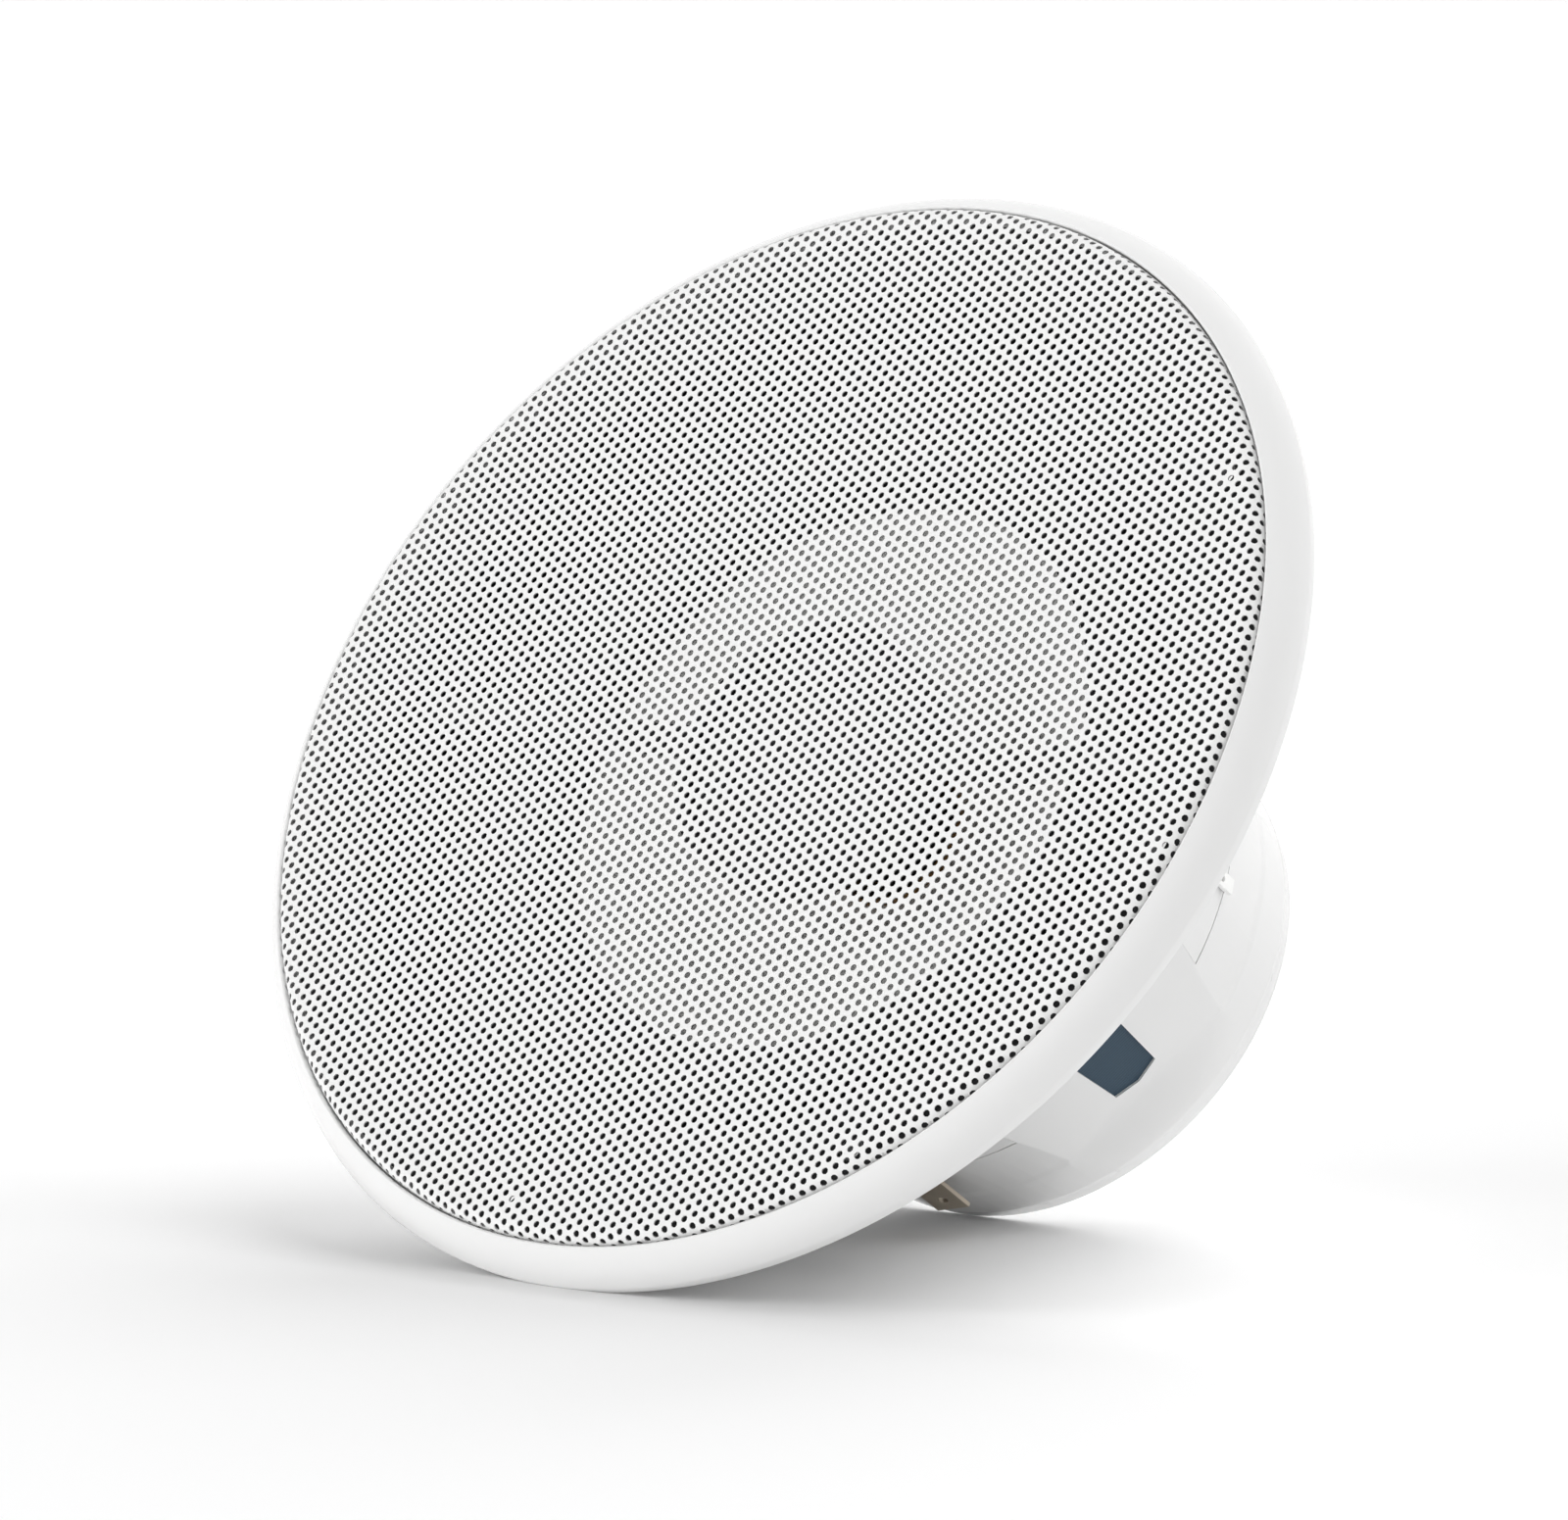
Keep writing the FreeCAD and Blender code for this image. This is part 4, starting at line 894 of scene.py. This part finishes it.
def make_spider():
    """A corrugated cloth disc between a flat collar and a flat rim."""
    size = sizes()
    middle = (SPIDER_LOW.z + SPIDER_HIGH.z) / 2
    skin = size.spider_skin
    lift = (SPIDER_HIGH.z - SPIDER_LOW.z - skin) / 2
    inner = size.spider_collar
    outer = size.spider_shelf
    path = [(size.spider_inner, middle)]
    steps = WAVE_STEPS * size.spider_waves
    for step in range(steps + 1):
        share = step / steps
        wave = math.sin(share * size.spider_waves * FULL_TURN)
        path.append((inner + (outer - inner) * share, middle + lift * wave))
    path.append((SPIDER_HIGH.x, middle))
    over = [(reach, height + skin / 2) for reach, height in path]
    under = [(reach, height - skin / 2) for reach, height in reversed(path)]
    finish_flexing(turned_mesh(over + under), "spider_cloth_disc", spider_cloth(), "spider",
                   inner, outer)


def make_strip():
    """A thin foam strip on the ring's shelf, which keeps the grille from rattling."""
    size = sizes()
    inner = RING_HIGH.x - size.lip_width - size.lip_round - size.ring_shelf
    outer = inner + size.strip_width
    low = size.shelf_low + size.shelf_thick
    high = low + size.strip_thick
    soft = size.strip_thick / 2
    profile = [(inner, low), (outer, low)]
    profile += arc_points((outer - soft, high - soft), soft, 0, 90, SMALL_ROUND_STEPS)
    profile += arc_points((inner + soft, high - soft), soft, 90, 180, SMALL_ROUND_STEPS)
    finish_mesh(turned_mesh(profile), "grille_strip", sealing_foam(), "grey_foam")


# Basket and motor cover

def body_radius(z):
    """Radius of the tapered body that the basket's neck and the cover share."""
    size = sizes()
    share = (z - size.seam_height) / (COVER_LOW.z - size.seam_height)
    return size.seam_radius + (size.back_radius - size.seam_radius) * share


def flat_distance(z):
    """Distance of a flat of the cover from the axis, also below its end."""
    size = sizes()
    share = (z - size.seam_height) / (size.flat_end - size.seam_height)
    return size.flat_at_seam + (size.flat_at_end - size.flat_at_seam) * share


def nearest_flat(point):
    """The heading of the middle of the flat that a point lies nearest to."""
    return FLAT_STEP * round(math.atan2(point.y, point.x) / FLAT_STEP)


def from_flat(point):
    """The angle of a point from the middle of the nearest flat."""
    return math.atan2(point.y, point.x) - nearest_flat(point)


def side_faces(bm, low, high):
    """The faces of the cover's outside that reach into a stretch of its height."""
    found = []
    for face in bm.faces:
        middle = face.calc_center_median()
        outward = face.normal.dot(Vector((middle.x, middle.y, 0.0)).normalized())
        heights = [vert.co.z for vert in face.verts]
        if outward > FACING and min(heights) < high and max(heights) > low:
            found.append(face)
    return found


def cut_fine(bm, faces, levels, headings):
    """Cuts faces by level planes and by planes through the axis."""
    geom = list({item for face in faces for item in (face, *face.edges, *face.verts)})
    planes = [(Vector((0, 0, level)), Vector((0, 0, 1))) for level in levels]
    planes += [(Vector((0, 0, 0)), Vector((-math.sin(turn), math.cos(turn), 0))) for turn in headings]
    for place, normal in planes:
        geom = bmesh.ops.bisect_plane(bm, geom=geom, dist=MERGE, plane_co=place,
                                      plane_no=normal)["geom"]
    return [item for item in geom if isinstance(item, bmesh.types.BMVert)]


def run_out_flats(bm):
    """Lets the cover's flats fade out softly towards the back."""
    size = sizes()
    low = size.run_out_low
    high = size.run_out_high
    steps = round((high - low) / size.run_out_step)
    levels = [low + (high - low) * step / steps for step in range(steps + 1)]
    headings = [math.pi * step / RUN_OUT_CUTS for step in range(RUN_OUT_CUTS)]
    bm.normal_update()
    for vert in cut_fine(bm, side_faces(bm, low, high), levels, headings):
        if not low < vert.co.z < high:
            continue
        reach = math.hypot(vert.co.x, vert.co.y)
        round_reach = body_radius(vert.co.z)
        depth = round_reach - reach
        if vert.co.z < size.flat_end:
            depth = round_reach - flat_distance(vert.co.z) / math.cos(from_flat(vert.co))
        share = (vert.co.z - low) / (high - low)
        scale = (round_reach - max(depth, 0.0) * eased(share)) / reach
        vert.co.x *= scale
        vert.co.y *= scale


def widen_tongues(bm):
    """Widens the cover's tongues so that they lie close in their slots."""
    size = sizes()
    foot = size.seam_height - TONGUE_FOOT
    for vert in bm.verts:
        middle = nearest_flat(vert.co)
        aside = Vector((-math.sin(middle), math.cos(middle), 0.0))
        distance = vert.co.dot(aside)
        if vert.co.z > foot and size.tongue_inside < abs(distance) < size.tongue_side:
            vert.co += aside * math.copysign(size.tongue_ease, distance)


def make_cover():
    """The motor cover, with its corners softened and its flats run out softly."""
    size = sizes()
    bm = merged_copy("motor_cover")
    edges = []
    for edge in creases(bm, CORNER):
        middle = (edge.verts[0].co + edge.verts[1].co) / 2
        aside = abs(math.hypot(middle.x, middle.y) * math.sin(from_flat(middle)))
        in_window = aside < size.window_half and middle.z > size.run_out_high
        on_ramp = size.run_out_low < middle.z < size.flat_end
        on_side = COVER_LOW.z + size.back_round < middle.z < size.seam_height - SEAM_MARGIN
        if on_side and not in_window and not on_ramp:
            edges.append(edge)
    soften(bm, edges, size.moulded_edge)
    run_out_flats(bm)
    widen_tongues(bm)
    piece = finish_mesh(bm, "motor_cover_moulding", glossy_white(), "white_plastic", "motor_cover",
                        sharp=MOULDED_CORNER)
    even_shading(piece)


def in_screw_hole(point):
    """Whether a point lies in one of the flange's eight screw holes, whose insides are painted dark as
    shade.
    """
    size = sizes()
    heading = SCREW_STEP * (math.floor(math.atan2(point.y, point.x) / SCREW_STEP) + 0.5)
    circle = SEAL_HIGH.x - size.seal_width - size.screw_inset
    across = math.hypot(point.x - circle * math.cos(heading), point.y - circle * math.sin(heading))
    return point.z > 0.0 and across < size.screw_shade_radius


def make_basket():
    """The basket, with its corners softened except where the cover's tongues lie snug, and painted shade
    inside its screw holes.
    """
    size = sizes()
    bm = merged_copy("basket")
    edges = [edge for edge in creases(bm, CORNER)
             if not all(size.seam_height - SEAM_MARGIN < vert.co.z < size.tongue_end for vert in edge.verts)]
    soften(bm, edges, size.moulded_edge)
    # Painted shade: the faces inside the screw holes take the dark moulding
    for face in bm.faces:
        face.material_index = int(in_screw_hole(face.calc_center_median()))
    piece = finish_mesh(bm, "basket_moulding", glossy_white(), "white_plastic", "basket")
    piece.data.materials.append(dark_moulding())
    even_shading(piece)


# Seal, tweeter dome and softened solids

def make_seal():
    """The foam ring under the flange."""
    soft = sizes().seal_round
    outer = SEAL_HIGH.x - soft
    inner = SEAL_HIGH.x - sizes().seal_width + soft
    low = SEAL_LOW.z + soft
    high = SEAL_HIGH.z - soft
    profile = []
    for index, corner in enumerate(((outer, low), (outer, high), (inner, high), (inner, low))):
        profile += arc_points(corner, soft, 90 * index - 90, 90 * index, SMALL_ROUND_STEPS)
    finish_mesh(turned_mesh(profile), "mounting_seal_foam", sealing_foam(), "grey_foam", "mounting_seal")


def make_tweeter_dome():
    """The silk dome with its flat rim."""
    size = sizes()
    skin = size.dome_skin
    rim_top = DOME_LOW.z + skin
    reach = DOME_HIGH.x - size.dome_rim
    rise = DOME_HIGH.z - rim_top
    sphere = cap_radius(reach, rise)
    middle = DOME_HIGH.z - sphere
    edge_angle = math.degrees(math.acos(reach / sphere))
    inner = sphere - skin
    inner_angle = math.degrees(math.asin((DOME_LOW.z - middle) / inner))
    profile = arc_points((0.0, middle), sphere, 90, edge_angle, CAP_STEPS)
    profile += [(DOME_HIGH.x, rim_top), (DOME_HIGH.x, DOME_LOW.z)]
    profile += arc_points((0.0, middle), inner, inner_angle, 90, CAP_STEPS)
    finish_mesh(turned_mesh(profile, closed=False), "tweeter_dome_silk", dome_silk(), "dark_silk",
                "tweeter_dome", sharp=SILK_CORNER)


def make_softened(node, name, material, slot, width):
    """A still copy of a solid, with its corners softened."""
    bm = merged_copy(node)
    soften(bm, creases(bm, CORNER), width)
    finish_mesh(bm, name, material, slot, node)


# Operators

class SPEAKER_OT_grille_mesh(bpy.types.Operator):
    """Punch and press the grille sheet"""

    bl_idname = "speaker.grille_mesh"
    bl_label = "Grille mesh"

    def execute(self, context):
        make_grille_mesh()
        return {"FINISHED"}


class SPEAKER_OT_grille_ring(bpy.types.Operator):
    """Turn the grille ring"""

    bl_idname = "speaker.grille_ring"
    bl_label = "Grille ring"

    def execute(self, context):
        make_grille_ring()
        make_strip()
        return {"FINISHED"}


class SPEAKER_OT_mouldings(bpy.types.Operator):
    """Soften the edges of the basket, the motor cover and its dust screens"""

    bl_idname = "speaker.mouldings"
    bl_label = "Basket and motor cover"

    def execute(self, context):
        make_basket()
        make_cover()
        make_softened("vent_screens", "vent_screen_cloths", screen_cloth(), "slate_screen",
                      sizes().screen_edge)
        return {"FINISHED"}


class SPEAKER_OT_terminals(bpy.types.Operator):
    """Soften the edges of the two blades"""

    bl_idname = "speaker.terminals"
    bl_label = "Terminals"

    def execute(self, context):
        edge = sizes().blade_edge
        # One blade gets the painted lit finish and the other the painted shaded one, though both are the
        # same tinned brass
        for node, metal in (("terminal_positive", dull_brass()), ("terminal_negative", bright_tin())):
            make_softened(node, node + "_blade", metal, "tinned_brass", edge)
        return {"FINISHED"}


class SPEAKER_OT_suspension(bpy.types.Operator):
    """Make the surround, the spider and the seals, and dress the cone"""

    bl_idname = "speaker.suspension"
    bl_label = "Cone and suspension"

    def execute(self, context):
        make_surround()
        make_spider()
        dress("cone", satin_cone())
        make_softened("front_gasket", "dish_gasket", matt_rubber(), "black_rubber",
                      sizes().gasket_edge)
        make_seal()
        dress("coil_former", amber_film())
        dress("voice_coil", copper_winding())
        return {"FINISHED"}


class SPEAKER_OT_motor(bpy.types.Operator):
    """Dress the magnet, the plates and the screws"""

    bl_idname = "speaker.motor"
    bl_label = "Motor"

    def execute(self, context):
        dress("magnet", slate_magnet())
        for node in ("top_plate", "pole_yoke", "motor_screws", "tweeter_post_screw"):
            dress(node, zinc_plate())
        return {"FINISHED"}


class SPEAKER_OT_tweeter(bpy.types.Operator):
    """Make the tweeter's bridge and dome and dress the rest of it"""

    bl_idname = "speaker.tweeter"
    bl_label = "Tweeter"

    def execute(self, context):
        for node in ("tweeter_post", "tweeter_housing", "tweeter_faceplate"):
            dress(node, dark_moulding())
        make_softened("tweeter_bridge", "tweeter_bridge_moulding", dark_moulding(), "dark_plastic",
                      sizes().bridge_edge)
        for node in ("tweeter_pot", "tweeter_magnet", "tweeter_pole_disc"):
            dress(node, zinc_plate())
        make_tweeter_dome()
        dress("crossover_capacitor", sleeve_film())
        return {"FINISHED"}


# Stage

# Where the lamps stand: degrees round the object from the camera's side towards the right, and degrees up
LAMP_PLACES = {
    "left_lamp": (287, 12),
    "right_lamp": (90, 17),
    "back_lamp": (158, 38),
    "front_lamp": (0, 22),
    "high_lamp": (90, 66),
}


def floor_plane(stage):
    """The upward direction and the height of a floor under the ring's foot and the cover's back rim."""
    ring_radius = RING_HIGH.x - sizes().ring_foot
    tilt = math.atan2(ring_radius - COVER_BACK_RADIUS, RING_LOW.z - COVER_LOW.z)
    flat = math.cos(tilt)
    normal = Vector((flat * math.cos(stage.floor_azimuth), flat * math.sin(stage.floor_azimuth),
                     math.sin(tilt)))
    return normal, -flat * ring_radius + math.sin(tilt) * RING_LOW.z + stage.floor_sink


def floor_finish():
    """A pale floor that keeps the shadow, and that a camera below it looks through."""
    finish = bpy.data.materials.new("pale_floor")
    finish.use_nodes = True
    tree = finish.node_tree
    tree.nodes.clear()
    link = tree.links.new
    matt = node_at(tree, "ShaderNodeBsdfDiffuse")
    matt.inputs["Color"].default_value = opaque(finishes().floor_white)
    clear = node_at(tree, "ShaderNodeBsdfTransparent")
    rays = node_at(tree, "ShaderNodeLightPath")
    side = node_at(tree, "ShaderNodeNewGeometry")
    from_below = product_at(tree, rays.outputs["Is Camera Ray"], side.outputs["Backfacing"])
    mix = node_at(tree, "ShaderNodeMixShader")
    link(from_below, mix.inputs["Fac"])
    link(matt.outputs["BSDF"], mix.inputs[1])
    link(clear.outputs["BSDF"], mix.inputs[2])
    out = node_at(tree, "ShaderNodeOutputMaterial")
    link(mix.outputs["Shader"], out.inputs["Surface"])
    return finish


def make_floor(stage):
    normal, distance = floor_plane(stage)
    bm = bmesh.new()
    turn = normal.to_track_quat("Z", "Y").to_matrix().to_4x4()
    at = Matrix.Translation(normal * distance) @ turn
    bmesh.ops.create_grid(bm, x_segments=1, y_segments=1, size=stage.floor_size / 2, matrix=at)
    mesh = bpy.data.meshes.new("floor")
    bm.to_mesh(mesh)
    bm.free()
    mesh.materials.append(floor_finish())
    floor = add_object("floor", mesh)
    return normal


def make_sky(stage):
    """Soft light from all round, white where the camera or a reflection meets it."""
    world = bpy.data.worlds.new("soft_sky")
    bpy.context.scene.world = world
    world.use_nodes = True
    tree = world.node_tree
    tree.nodes.clear()
    link = tree.links.new
    rays = node_at(tree, "ShaderNodeLightPath").outputs
    seen = rays["Is Camera Ray"]
    for ray in ("Is Glossy Ray", "Is Transmission Ray"):
        either = node_at(tree, "ShaderNodeMath", operation="MAXIMUM")
        link(seen, either.inputs[0])
        link(rays[ray], either.inputs[1])
        seen = either.outputs["Value"]
    strength = spread_at(tree, seen, stage.sky_strength, 1.0)
    sky = node_at(tree, "ShaderNodeBackground")
    link(strength, sky.inputs["Strength"])
    sky.inputs["Color"].default_value = opaque((1.0, 1.0, 1.0))
    out = node_at(tree, "ShaderNodeOutputWorld")
    link(sky.outputs["Background"], out.inputs["Surface"])


def make_lamps(stage, normal):
    """Wide lamps round the object, placed from the camera's side of the floor."""
    sight = Vector(stage.camera_aim) - Vector(stage.camera_place)
    ahead = (sight - sight.dot(normal) * normal).normalized()
    right = ahead.cross(normal)
    for name, (round_degrees, up_degrees) in LAMP_PLACES.items():
        turn = math.radians(round_degrees)
        rise = math.radians(up_degrees)
        level = right * math.sin(turn) - ahead * math.cos(turn)
        towards = level * math.cos(rise) + normal * math.sin(rise)
        lamp = bpy.data.lights.new(name, "SUN")
        lamp.energy = getattr(stage, name)
        lamp.angle = stage.lamp_spread
        holder = add_object(name, lamp)
        holder.rotation_mode = "QUATERNION"
        holder.rotation_quaternion = (-towards).to_track_quat("-Z", "Y")
        holder.visible_glossy = False


def make_camera(stage):
    lens = bpy.data.cameras.new("camera")
    lens.sensor_width = SENSOR_WIDTH_MM
    lens.lens = stage.focal_px * SENSOR_WIDTH_MM / PHOTO_WIDTH_PX
    place = Vector(stage.camera_place)
    sight = (Vector(stage.camera_aim) - place).normalized()
    camera = add_object("camera", lens)
    camera.location = place
    camera.rotation_mode = "QUATERNION"
    roll = Quaternion(sight, stage.camera_roll)
    camera.rotation_quaternion = roll @ sight.to_track_quat("-Z", "Y")
    lens.clip_start = CAMERA_NEAR
    lens.clip_end = CAMERA_FAR
    bpy.context.scene.camera = camera


class SPEAKER_OT_stage(bpy.types.Operator):
    """Set up the floor, the light and the camera"""

    bl_idname = "speaker.stage"
    bl_label = "Stage"

    def execute(self, context):
        stage = context.scene.speaker_stage
        normal = make_floor(stage)
        make_sky(stage)
        make_lamps(stage, normal)
        make_camera(stage)
        context.scene.view_settings.view_transform = "Standard"
        return {"FINISHED"}


OPERATORS = (
    SPEAKER_OT_grille_mesh,
    SPEAKER_OT_grille_ring,
    SPEAKER_OT_mouldings,
    SPEAKER_OT_terminals,
    SPEAKER_OT_suspension,
    SPEAKER_OT_motor,
    SPEAKER_OT_tweeter,
    SPEAKER_OT_stage,
)


class SPEAKER_PT_pieces(bpy.types.Panel):
    """Pieces of the speaker"""

    bl_label = "Marine coaxial speaker"
    bl_idname = "SPEAKER_PT_pieces"
    bl_space_type = "VIEW_3D"
    bl_region_type = "UI"
    bl_category = "Speaker"

    def draw(self, context):
        for operator in OPERATORS:
            self.layout.operator(operator.bl_idname)


GROUPS = {
    "speaker_sizes": SpeakerSizes,
    "speaker_finishes": SpeakerFinishes,
    "speaker_stage": SpeakerStage,
}


def register():
    for name, group in GROUPS.items():
        bpy.utils.register_class(group)
        setattr(bpy.types.Scene, name, PointerProperty(type=group))
    for operator in OPERATORS:
        bpy.utils.register_class(operator)
    bpy.utils.register_class(SPEAKER_PT_pieces)


def unregister():
    bpy.utils.unregister_class(SPEAKER_PT_pieces)
    for operator in reversed(OPERATORS):
        bpy.utils.unregister_class(operator)
    for name, group in reversed(GROUPS.items()):
        delattr(bpy.types.Scene, name)
        bpy.utils.unregister_class(group)


def main():
    register()
    bpy.ops.speaker.grille_mesh()
    bpy.ops.speaker.grille_ring()
    bpy.ops.speaker.mouldings()
    bpy.ops.speaker.terminals()
    bpy.ops.speaker.suspension()
    bpy.ops.speaker.motor()
    bpy.ops.speaker.tweeter()
    bpy.ops.speaker.stage()


if __name__ == "__main__":
    main()
